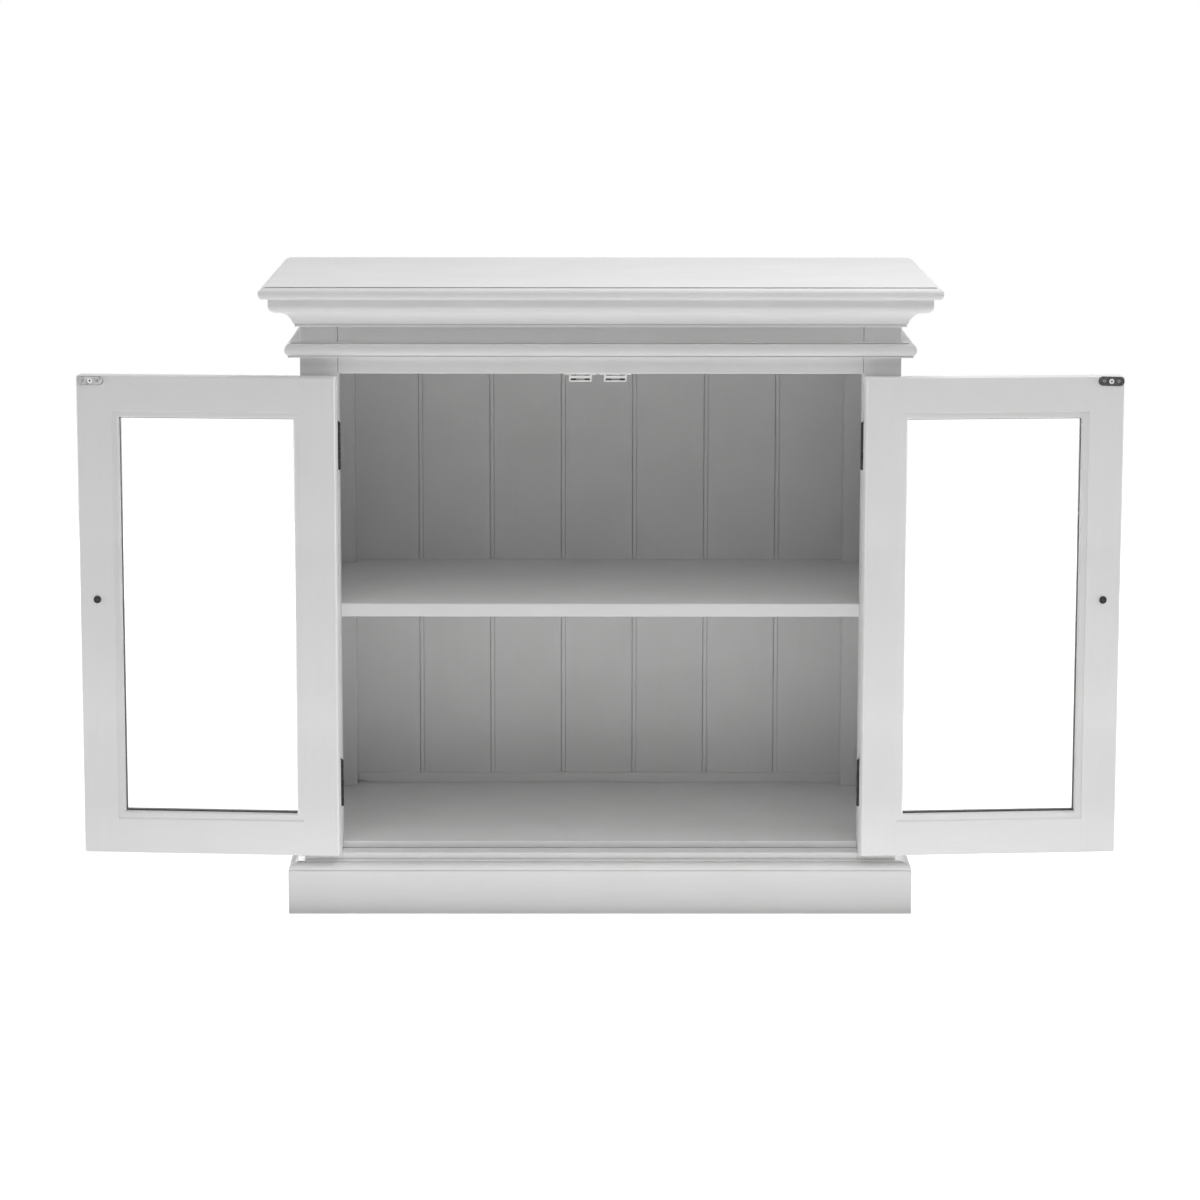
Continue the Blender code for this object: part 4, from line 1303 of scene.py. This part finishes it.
@dataclass
class ButtHinge:
    """A butt hinge: two leaves with interleaved knuckles, a pin and six screws."""

    side: Side
    level: float
    label: str
    height: float = 0.0635
    knuckle_radius: float = 0.0024
    knuckle_round: float = 0.00035
    knuckle_gap: float = 0.00035
    knuckle_steps: int = 40
    knuckles: int = 5
    pin_radius: float = 0.0012
    pin_shoulder_radius: float = 0.0009
    pin_shoulder: float = 0.0005
    pin_dome: float = 0.0007
    pin_steps: int = 24
    leaf_start: float = 0.0012
    leaf_width: float = 0.0203
    leaf_thickness: float = 0.0012
    leaf_arris: float = 0.0004
    door_gap: float = 0.002
    proud: float = 0.00012
    screw_sunk: float = 0.0003
    screw_spots: tuple[Point, ...] = ((-0.36, 0.0115), (0.0, 0.0140), (0.36, 0.0115))
    screw: Screw = Screw(0.0029, 0.0005, 0.0008)

    def leaf_face(self, in_door: bool) -> tuple[int, float]:
        """Which way a shut leaf lies behind its face, and the x of that face."""
        toward = self.side.sign * (-1 if in_door else 1)
        return toward, self.side.sign * CARCASS.pin_x + toward * (self.door_gap / 2 - self.proud)

    def plate(self, in_door: bool) -> Mesh:
        """The plate of one leaf in the closed position.

        Args:
            in_door: Whether it is the door's leaf.

        Returns:
            Its mesh.
        """
        toward, face = self.leaf_face(in_door)
        ends = sorted((face, face + toward * self.leaf_thickness))
        back = CARCASS.pin_y + self.leaf_width
        bm = block(Vector((ends[0], CARCASS.pin_y + self.leaf_start,
                           self.level - self.height / 2)),
                   Vector((ends[1], back, self.level + self.height / 2)))
        soften(bm, edges_at(bm, y=back), self.leaf_arris, 2)
        return bm

    def barrel(self, in_door: bool) -> Mesh:
        """The knuckles of one leaf.

        Args:
            in_door: Whether it is the door's leaf.

        Returns:
            Two knuckles for a door's leaf, three for the frame's.
        """
        bm = bmesh.new()
        pitch = self.height / self.knuckles
        for index in range(1 if in_door else 0, self.knuckles, 2):
            middle = self.level - self.height / 2 + (index + 0.5) * pitch
            spot = Matrix.Translation((self.side.sign * CARCASS.pin_x, CARCASS.pin_y, middle))
            knuckle = bmesh.new()
            bmesh.ops.create_cone(knuckle, cap_ends=True, segments=self.knuckle_steps,
                                  radius1=self.knuckle_radius, radius2=self.knuckle_radius,
                                  depth=pitch - self.knuckle_gap, matrix=spot)
            soften(knuckle, without(knuckle.edges, edges_along(knuckle, 2)),
                   self.knuckle_round, 2)
            merge_into(bm, knuckle)
        return bm

    def pin(self) -> Mesh:
        """The pin with a small domed end above and below the knuckles."""
        half = self.height / 2
        upper = [(self.pin_radius, half), (self.pin_shoulder_radius, half + self.pin_shoulder),
                 (0.0, half + self.pin_dome)]
        bm = turned([(radius, -z) for radius, z in reversed(upper)] + upper, self.pin_steps)
        bmesh.ops.translate(bm, verts=bm.verts,
                            vec=(self.side.sign * CARCASS.pin_x, CARCASS.pin_y, self.level))
        return bm

    def screw_seats(self, in_door: bool) -> list[Matrix]:
        """Places of the three screws of a leaf."""
        toward, face = self.leaf_face(in_door)
        return [facing(Vector((-toward, 0, 0)),
                       Vector((face + toward * self.screw_sunk, CARCASS.pin_y + depth,
                               self.level + rise * self.height)))
                for rise, depth in self.screw_spots]

    def build(self, bench: Bench, door_place: Matrix) -> None:
        """Make both leaves, the pin and the screws.

        Args:
            bench: Where pieces are finished.
            door_place: Turns the door's pieces from closed to rest.
        """
        word = self.side.word
        iron, paint = bench.finishes.iron, bench.finishes.paint[Grain.ALONG_Z]
        # The frame leaf's screw crosses are painted shade for their recesses; the door leaf's
        # crosses are paint.
        for part, body, place, metal, slot, dark in (
                ("frame", "cabinet", None, iron, "black_iron", bench.finishes.seal),
                ("door", f"{word}_door", door_place, paint, "white_paint", paint)):
            in_door = part == "door"
            node = f"{word}_{self.label}_hinge_{part}_leaf"
            heads, slots = self.screw.at(self.screw_seats(in_door))
            bench.finish(f"{node}_knuckles", self.barrel(in_door), iron, body,
                         [node], place)
            bench.finish(f"{node}_plate", self.plate(in_door), metal, body, place=place)
            bench.finish(f"{node}_screws", heads, metal, body, place=place)
            bench.finish(f"{node}_screw_slots", slots, dark, body, place=place)
        bench.finish(f"{word}_{self.label}_hinge_pin", self.pin(), iron, "cabinet")


@dataclass(frozen=True)
class Knob:
    """A turned knob on the outside of a door, with its screw inside."""

    length: float = 0.025
    radius: float = 0.0125
    rose_radius: float = 0.0085
    rose_height: float = 0.0028
    rose_round: float = 0.0012
    neck_radius: float = 0.0055
    neck_round: float = 0.0016
    neck_reach: float = 0.92
    head_share: float = 0.64
    head_start: float = -56.0
    steps: int = 64
    screw: Screw = Screw(0.0051, 0.0021, 0.0014, 0.58, 0.13)

    def body(self) -> Mesh:
        """The knob, standing on the origin and pointing up +Z."""
        half = self.length * self.head_share / 2
        middle = self.length - half
        profile = [(0.0, 0.0), (self.rose_radius, 0.0)]
        profile += quarter((self.rose_radius - self.rose_round,
                            self.rose_height - self.rose_round), self.rose_round, 0, 5)
        profile += arc((self.neck_radius + self.neck_round, self.rose_height + self.neck_round),
                       (self.neck_round, self.neck_round), 270, 180, 5)
        profile += [(self.neck_radius, middle - half * self.neck_reach)]
        profile += arc((0.0, middle), (self.radius, half), self.head_start, 90, 22)
        return turned(profile, self.steps)


@dataclass(frozen=True)
class StrikePlate:
    """The oval plate that the catch holds."""

    length: float = 0.0346
    width: float = 0.0118
    inset: float = 0.0009
    thickness: float = 0.0011
    rim: float = 0.00045
    play: float = 0.0001
    # The dark ring under the plate's edge is painted shadow, with some dirt.
    seat_reach: float = 0.0004
    seat_thickness: float = 0.0002
    seat_rim: float = 0.00008
    dimple_radius: float = 0.0019
    dimple_width: float = 0.0008
    dimple_offset: float = 0.0098
    dimple_rise: float = 0.00016
    dimple_round: float = 0.0001
    sunk: float = 0.0002
    screw: Screw = Screw(0.0034, 0.0007, 0.0006, 0.5, 0.14)

    def oval(self, spare: float, thickness: float, rim: float) -> Mesh:
        """An oval disc that faces +Z.

        Args:
            spare: How far it reaches past the plate's own outline.
            thickness: Its height above the origin.
            rim: Width of its soft edge.

        Returns:
            The disc.
        """
        radius = self.width / 2 + spare
        half = (self.length - self.width) / 2
        outline = []
        for middle, start in ((half, -90), (-half, 90)):
            outline += arc((middle, 0.0), (radius, radius), start, start + 180, 18)
        bm = upright(outline, 0.0, thickness)
        soften(bm, edges_at(bm, z=thickness), rim, 3)
        return bm

    def plate(self) -> Mesh:
        """The stamped plate with its soft rim."""
        return self.oval(0.0, self.thickness, self.rim)

    def seat(self) -> Mesh:
        """The dark line that the plate stands in: painted shadow, with some dirt."""
        return self.oval(self.seat_reach, self.seat_thickness, self.seat_rim)

    def dimples(self) -> Mesh:
        """Two shallow rings, one at each end of the plate."""
        bm = bmesh.new()
        inner, outer = self.dimple_radius - self.dimple_width, self.dimple_radius
        foot, crest = self.thickness - self.sunk, self.thickness + self.dimple_rise
        for sign in (-1, 1):
            ring = turned([(inner, foot), (inner + self.dimple_round, crest),
                           (outer - self.dimple_round, crest), (outer, foot), (inner, foot)], 28)
            merge_into(bm, ring, Matrix.Translation((sign * self.dimple_offset, -self.sunk, 0)))
        return bm


# Doors


@dataclass
class Door:
    """One glazed door, modelled shut and turned to its place at rest."""

    side: Side
    open_degrees: float = 184.5
    hinge_edge: float = 0.348
    free_edge: float = 0.0015
    thickness: float = 0.024
    stile_width: float = 0.047
    top_rail: float = 0.047
    bottom_rail: float = 0.0475
    lip_width: float = 0.010
    lock_lip_width: float = 0.0088
    lip_thickness: float = 0.010
    lip_arris: float = 0.0009
    glass_thickness: float = 0.003
    arris: float = 0.0019
    front_arris: float = 0.0016
    corner: float = 0.0026
    joint: float = 0.00006
    knob_level: float = 0.429
    knuckle_arris: float = 0.0026
    wide_frame_arris: float = 0.0015
    narrow_frame_arris: float = 0.0007
    bead_width: float = 0.0088
    bead_spare: float = 0.0006
    bead_round: float = 0.0030
    bead_sunk: float = 0.0018
    bead_play: float = 0.00005
    bead_side: float = 0.0012
    bead_undercut: float = 0.0016
    bead_wall: float = 0.0030
    # Sizes of the dark ring of painted shade round the glass edge, behind the lip.
    seal_thickness: float = 0.0005
    seal_cover: float = 0.0020
    seal_start: float = 0.30
    seal_rise: float = 0.7
    seal_bite: float = 0.0004
    seal_sunk: float = 0.0002
    worn_tilt: float = -2.0
    knob: Knob = Knob()
    strike: StrikePlate = StrikePlate()

    def __post_init__(self) -> None:
        """Read the door's height from its CAD stile and work out its planes."""
        low, high = corners_of(f"{self.side.word}_door_hinge_stile")
        self.bottom = low.z
        self.top = high.z
        self.front_y = CARCASS.front_y
        self.back_y = self.front_y + self.thickness
        self.step_y = self.front_y + self.lip_thickness

    @property
    def body(self) -> str:
        """The CAD body that the door's pieces ride on."""
        return f"{self.side.word}_door"

    def place(self) -> Matrix:
        """Turn about the hinge pin from shut to rest."""
        pin = Vector((self.side.sign * CARCASS.pin_x, CARCASS.pin_y, 0.0))
        turn = Matrix.Rotation(self.side.sign * math.radians(self.open_degrees), 4, "Z")
        return Matrix.Translation(pin) @ turn @ Matrix.Translation(-pin)

    def window(self) -> tuple[Vector, Vector]:
        """Lowest and highest corner of the rebate opening, at the front face."""
        x = sorted((self.side.sign * (self.free_edge + self.stile_width),
                    self.side.sign * (self.hinge_edge - self.stile_width)))
        return (Vector((x[0], self.front_y, self.bottom + self.bottom_rail)),
                Vector((x[1], self.front_y, self.top - self.top_rail)))

    def stile(self, hinged: bool) -> Mesh:
        """A stile with its glazing lip.

        Args:
            hinged: Whether it is the hinge stile.

        Returns:
            Its mesh.
        """
        edge = self.side.sign * (self.hinge_edge if hinged else self.free_edge)
        inward = -self.side.sign if hinged else self.side.sign
        width = edge + inward * self.stile_width
        lip = width + inward * (self.lip_width if hinged else self.lock_lip_width)
        back_arris = self.knuckle_arris if hinged else self.arris
        frame_arris = self.wide_frame_arris if hinged else self.narrow_frame_arris
        bm = upright([(edge, self.front_y), (lip, self.front_y), (lip, self.step_y),
                      (width, self.step_y), (width, self.back_y), (edge, self.back_y)],
                     self.bottom, self.top)
        soften(bm, edges_at(bm, x=edge, z=self.top) + edges_at(bm, x=edge, z=self.bottom),
               self.corner, 5)
        for y, inner, radius, steps in ((self.front_y, lip, self.front_arris, 4),
                                        (self.back_y, width, back_arris, 5)):
            soften(bm, without(edges_at(bm, y=y), edges_at(bm, x=inner)), radius, steps)
        soften(bm, edges_at(bm, x=lip, y=self.front_y), self.lip_arris, 3)
        soften(bm, edges_at(bm, x=width, y=self.back_y), frame_arris, 4)
        return bm

    def rail(self, upper: bool) -> Mesh:
        """A rail with its glazing lip, shouldered over the stiles' lips.

        Args:
            upper: Whether it is the top rail.

        Returns:
            Its mesh.
        """
        low, high = self.window()
        lips = self.by_side(self.lip_width, self.lock_lip_width)
        inner = low.x + self.joint + lips[0]
        outer = self.top if upper else self.bottom
        inward = -1 if upper else 1
        width = outer + inward * (self.top_rail if upper else self.bottom_rail)
        lip = width + inward * self.lip_width
        frame_arris = self.narrow_frame_arris if upper else self.wide_frame_arris
        outline = [(self.front_y, outer), (self.front_y, lip), (self.step_y, lip),
                   (self.step_y, width), (self.back_y, width), (self.back_y, outer)]
        bm = prism([Vector((inner, y, z)) for y, z in outline],
                   Vector((high.x - self.joint - inner - lips[1], 0, 0)))
        slice_at(bm, 1, self.step_y)
        bmesh.ops.recalc_face_normals(bm, faces=bm.faces)
        for sign, reach in zip((-1, 1), lips):
            caps = [face for face in bm.faces
                    if face.normal.x * sign > FACES_ONE_WAY
                    and face.calc_center_median().y > self.step_y
                    and (face.calc_center_median().z - width) * inward < 0]
            pull(bm, caps, Vector((sign * reach, 0, 0)))
            bmesh.ops.delete(bm, geom=caps, context="FACES_ONLY")
        for z, y, radius, steps in ((outer, self.front_y, self.front_arris, 4),
                                    (outer, self.back_y, self.arris, 5),
                                    (lip, self.front_y, self.lip_arris, 3),
                                    (width, self.back_y, frame_arris, 4)):
            soften(bm, edges_at(bm, y=y, z=z), radius, steps)
        return bm

    def by_side(self, hinge: float, lock: float) -> tuple[float, float]:
        """Two values as (left, right) in the shut door."""
        return (hinge, lock) if self.side is Side.LEFT else (lock, hinge)

    def ring(self, section: Sequence[Point], wall: float, hinge_spare: float = 0.0,
             lock_spare: float = 0.0) -> Mesh:
        """A mitred frame inside the rebate.

        Args:
            section: (inset from the rebate, y) points, closed.
            wall: Inset up to which points keep to the rebate's own wall.
            hinge_spare: How much further the other points reach in at the hinge stile.
            lock_spare: The same at the lock stile.

        Returns:
            Its mesh.
        """
        low, high = self.window()
        levels = []
        for inset, y in section:
            spare = self.by_side(hinge_spare, lock_spare) if inset > wall else (0.0, 0.0)
            left, right = low.x + inset + spare[0], high.x - inset - spare[1]
            foot, head = low.z + inset, high.z - inset
            levels.append([Vector((left, y, foot)), Vector((right, y, foot)),
                           Vector((right, y, head)), Vector((left, y, head))])
        return pulled_ring(levels, True)

    def glazing_bead(self) -> Mesh:
        """The bead frame on the inside of the glass."""
        front = self.step_y + 2 * CARCASS.gap + self.glass_thickness
        crown = self.back_y - self.bead_sunk
        section = [(CARCASS.gap, front), (self.bead_width, front)]
        section += quarter((self.bead_width - self.bead_round, crown - self.bead_round),
                           self.bead_round, 0, 10)
        section += [(self.bead_play, crown), (self.bead_play, crown - self.bead_side),
                    (CARCASS.gap, crown - self.bead_undercut)]
        return self.ring(section, self.bead_wall, hinge_spare=self.bead_spare)

    def seal(self) -> Mesh:
        """A dark ring round the glass behind the lip: painted shade along the glass edge."""
        inner = self.lip_width + self.seal_thickness
        outer = self.lip_width - self.seal_bite
        cover = self.lip_width - self.seal_cover
        front = self.front_y + self.lip_thickness * self.seal_start
        rear = self.step_y + CARCASS.gap * self.seal_rise
        behind = self.step_y - self.seal_sunk
        return self.ring([(outer, front), (inner, front), (inner, rear), (cover, rear),
                          (cover, behind), (outer, behind)], 0.0,
                         lock_spare=self.lock_lip_width - self.lip_width)

    def build_frame(self, bench: Bench) -> None:
        """Stiles, rails, bead, the ring of painted shade at the glass edge, and the glass."""
        word = self.side.word
        for node, bm, grain in (
                (f"{word}_door_hinge_stile", self.stile(True), Grain.ALONG_Z),
                (f"{word}_door_lock_stile", self.stile(False), Grain.ALONG_Z),
                (f"{word}_door_top_rail", self.rail(True), Grain.ALONG_X),
                (f"{word}_door_bottom_rail", self.rail(False), Grain.ALONG_X),
                (f"{word}_glazing_bead", self.glazing_bead(), Grain.ALONG_Z)):
            bench.paint(node, bm, grain, self.body, self.place())
        # The dark ring at the glass edge is painted shade.
        bench.finish(f"{word}_glazing_seal", self.seal(), bench.finishes.seal, self.body,
                     place=self.place())
        bench.dress(f"{word}_door_glass", bench.finishes.glass)

    def add_screw(self, bench: Bench, name: str, screw: Screw, seat: Vector,
                  head: Material, dark: Material) -> None:
        """One screw on the inner face of the door.

        Args:
            bench: Where pieces are finished.
            name: Name of the screw.
            screw: Its sizes.
            seat: Where its head sits, in the shut door.
            head: Material of the head.
            dark: Material of the cross, painted shade for the recess.
        """
        place = self.place() @ facing(Vector((0, 1, 0)), seat)
        bench.finish(name, screw.head(), head, self.body, place=place)
        bench.finish(name + "_cross", screw.cross(), dark, self.body, place=place)

    def build_knob(self, bench: Bench) -> None:
        """The knob in the middle of the lock stile, and the screw that holds it."""
        word = self.side.word
        x = self.side.sign * (self.free_edge + self.stile_width / 2)
        outside = Vector((x, self.front_y - CARCASS.gap, self.knob_level))
        inside = Vector((x, self.back_y, self.knob_level))
        bench.finish(f"turned_{word}_knob", self.knob.body(), bench.finishes.iron, self.body,
                     [f"{word}_knob"],
                     self.place() @ facing(Vector((0, -1, 0)), outside))
        self.add_screw(bench, f"{word}_knob_screw", self.knob.screw, inside,
                       bench.finishes.iron, bench.finishes.seal)

    def build_strike(self, bench: Bench) -> None:
        """The strike plate at the free top corner."""
        node = f"{self.side.word}_strike_plate"
        strike, finishes = self.strike, bench.finishes
        # The right plate gets the dark zinc and the left the light one, with their dimples the
        # other way round: painted shade and painted reflection on two copies of one plate. The
        # dark ring under each plate is painted shadow, with some dirt.
        worn = self.side is Side.RIGHT
        zinc = finishes.dull_zinc if worn else finishes.grey_zinc
        dimple_painted_tone = finishes.grey_zinc if worn else finishes.dull_zinc
        tilt = math.radians(self.worn_tilt if worn else 0.0)
        x = self.side.sign * (self.free_edge + strike.inset + strike.length / 2)
        centre = Vector((x, self.back_y + strike.play,
                         self.top - strike.inset - strike.width / 2))
        place = (self.place() @ facing(Vector((0, 1, 0)), centre)
                 @ Matrix.Rotation(tilt, 4, "Z"))
        for name, bm, material, stands_for in (
                ("stamped_" + node, strike.plate(), zinc, [node]),
                (node + "_seat", strike.seat(), finishes.seal, []),
                (node + "_dimples", strike.dimples(), dimple_painted_tone, [])):
            bench.finish(name, bm, material, self.body, stands_for, place)
        self.add_screw(bench, node + "_screw", strike.screw,
                       centre + Vector((0, strike.thickness - strike.sunk, 0)),
                       finishes.bright_zinc, finishes.pole_steel)

    def build(self, bench: Bench) -> None:
        """Make the whole door and its hinges."""
        self.build_frame(bench)
        self.build_knob(bench)
        self.build_strike(bench)
        for label in ("upper", "lower"):
            low, high = corners_of(f"{self.side.word}_{label}_hinge_frame_leaf")
            ButtHinge(self.side, (low.z + high.z) / 2, label).build(bench, self.place())


# Studio


@dataclass(frozen=True)
class Softbox:
    """A large soft lamp."""

    name: str
    place: Place
    aim: Place
    width: float
    height: float
    watts: float
    glossy: bool = True

    def build(self) -> None:
        """Hang the lamp."""
        lamp = bpy.data.lights.new(self.name, "AREA")
        lamp.shape = "RECTANGLE"
        lamp.size = self.width
        lamp.size_y = self.height
        lamp.energy = self.watts
        item = bpy.data.objects.new(self.name, lamp)
        bpy.context.scene.collection.objects.link(item)
        item.location = self.place
        toward = Vector(self.aim) - Vector(self.place)
        item.rotation_euler = toward.to_track_quat("-Z", "Y").to_euler()
        item.visible_camera = False
        item.visible_transmission = False
        item.visible_glossy = self.glossy


@dataclass
class Studio:
    """Pale floor, soft lamps, white surroundings and the camera."""

    ambient: float = 0.0
    floor_shade: float = 0.80
    floor_level: float = -0.0005
    floor_half: float = 7.0
    floor_glow: Point = (0.82, 1.0)
    glow_reach: Point = (0.6, 2.2)
    camera_place: Place = (-0.0274, -5.5525, 1.3282)
    pitch: float = 0.1664
    yaw: float = -0.0050
    roll: float = -0.0013
    lens: float = 121.487
    sensor_width: float = 36.0
    lamps: tuple[Softbox, ...] = (
        Softbox("overhead_left", (-1.0, -0.30, 2.60), (-0.3, -0.10, 0.0), 1.6, 2.4, 4.8),
        Softbox("overhead_right", (1.0, -0.30, 2.60), (0.3, -0.10, 0.0), 1.6, 2.4, 34.6),
        Softbox("top_front", (0.0, -1.80, 2.50), (0.0, 0.0, 0.45), 2.6, 1.2, 17.0),
        Softbox("low_front", (0.0, -3.20, 0.45), (0.0, 0.0, 0.45), 3.2, 0.8, 6.3),
        Softbox("left_front", (-2.4, -3.0, 1.3), (0.2, 0.0, 0.45), 1.8, 1.8, 1.9),
        Softbox("floor_middle", (0.0, -0.525, 0.004), (0.0, -0.525, 1.0), 3.0, 0.35, 4.8, False),
        Softbox("floor_far", (0.0, -0.875, 0.004), (0.0, -0.875, 1.0), 3.0, 0.35, 2.1, False),
        Softbox("floor_near", (0.0, -0.36, 0.004), (0.0, -0.36, 1.0), 2.0, 0.27, 0.50, False),
        Softbox("side_left", (-4.0, -0.42, 0.43), (0.0, -0.20, 0.42), 0.36, 0.8, 44.0),
        Softbox("side_right", (4.0, -0.42, 0.43), (0.0, -0.20, 0.42), 0.36, 0.8, 44.0),
        Softbox("rear", (0.0, 3.4, 0.43), (0.0, 0.1, 0.42), 1.6, 0.8, 50.0),
    )

    def floor_material(self) -> Material:
        """White ground that keeps the shadow; it also shows white in metal and glass."""
        material = bpy.data.materials.new("studio_floor")
        material.use_nodes = True
        material.node_tree.nodes.clear()
        wiring = Wiring(material.node_tree)
        shade = self.floor_shade
        diffuse = wiring.add("ShaderNodeBsdfDiffuse", {"Color": (shade, shade, shade, 1.0)})
        place = wiring.add("ShaderNodeTexCoord").outputs["Object"]
        away = wiring.add("ShaderNodeVectorMath", {0: place}, operation="LENGTH")
        level = wiring.spread(away.outputs["Value"], *self.floor_glow, self.glow_reach)
        glow = wiring.add("ShaderNodeEmission",
                          {"Strength": wiring.maths("MULTIPLY", wiring.seen(), level)})
        both = wiring.add("ShaderNodeAddShader",
                          {0: diffuse.outputs["BSDF"], 1: glow.outputs["Emission"]})
        wiring.add("ShaderNodeOutputMaterial", {"Surface": both.outputs["Shader"]})
        return material

    def build_floor(self) -> None:
        """Lay the floor."""
        bm = bmesh.new()
        bmesh.ops.create_grid(bm, x_segments=2, y_segments=2, size=self.floor_half)
        mesh = bpy.data.meshes.new("studio_floor")
        bm.to_mesh(mesh)
        bm.free()
        mesh.materials.append(self.floor_material())
        floor = bpy.data.objects.new("studio_floor", mesh)
        bpy.context.scene.collection.objects.link(floor)
        floor.location = (0.0, 0.0, self.floor_level)

    def build_world(self) -> None:
        """Plain surroundings: dark for the light, white where they are seen."""
        world = bpy.data.worlds.new("studio_world")
        world.use_nodes = True
        world.node_tree.nodes.clear()
        wiring = Wiring(world.node_tree)
        surround = wiring.add("ShaderNodeBackground",
                              {"Color": (1.0, 1.0, 1.0, 1.0),
                               "Strength": wiring.spread(wiring.seen(), self.ambient, 1.0)})
        wiring.add("ShaderNodeOutputWorld", {"Surface": surround.outputs["Background"]})
        bpy.context.scene.world = world

    def build_camera(self) -> None:
        """Set the camera to the photograph's view."""
        forward = Vector((-math.sin(self.yaw) * math.cos(self.pitch),
                          math.cos(self.yaw) * math.cos(self.pitch), -math.sin(self.pitch)))
        level = Vector((math.cos(self.yaw), math.sin(self.yaw), 0.0))
        upward = level.cross(forward)
        right = math.cos(self.roll) * level - math.sin(self.roll) * upward
        up = math.sin(self.roll) * level + math.cos(self.roll) * upward
        turn = Matrix((right, up, -forward)).transposed()
        data = bpy.data.cameras.new("studio_camera")
        data.sensor_fit = "HORIZONTAL"
        data.sensor_width = self.sensor_width
        data.lens = self.lens
        data.clip_end = 100.0
        camera = bpy.data.objects.new("studio_camera", data)
        bpy.context.scene.collection.objects.link(camera)
        camera.matrix_world = Matrix.Translation(self.camera_place) @ turn.to_4x4()
        bpy.context.scene.camera = camera

    def build(self) -> None:
        """Set up the whole studio."""
        self.build_floor()
        self.build_world()
        self.build_camera()
        for lamp in self.lamps:
            lamp.build()
        bpy.context.scene.view_settings.view_transform = "Standard"


# The whole


def main() -> None:
    """Build the cabinet and the studio."""
    logging.basicConfig(level=logging.INFO, format="%(name)s: %(message)s")
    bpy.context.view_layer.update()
    bench = Bench(Finishes(ShaderGroups()))
    for part in (TopBoard(), Cornice(), WaistMoulding(), Plinth(), FrontFrame(), BackWall(),
                 FloorAndShelf(), Catches(), Sides(),
                 Door(Side.LEFT, strike=StrikePlate(0.0350, 0.0108, 0.0015)), Door(Side.RIGHT)):
        part.build(bench)
    for name in bench.made:
        log.info("made %s", name)
    log.info("%d pieces", len(bench.made))
    Studio().build()


if __name__ == "__main__":
    main()
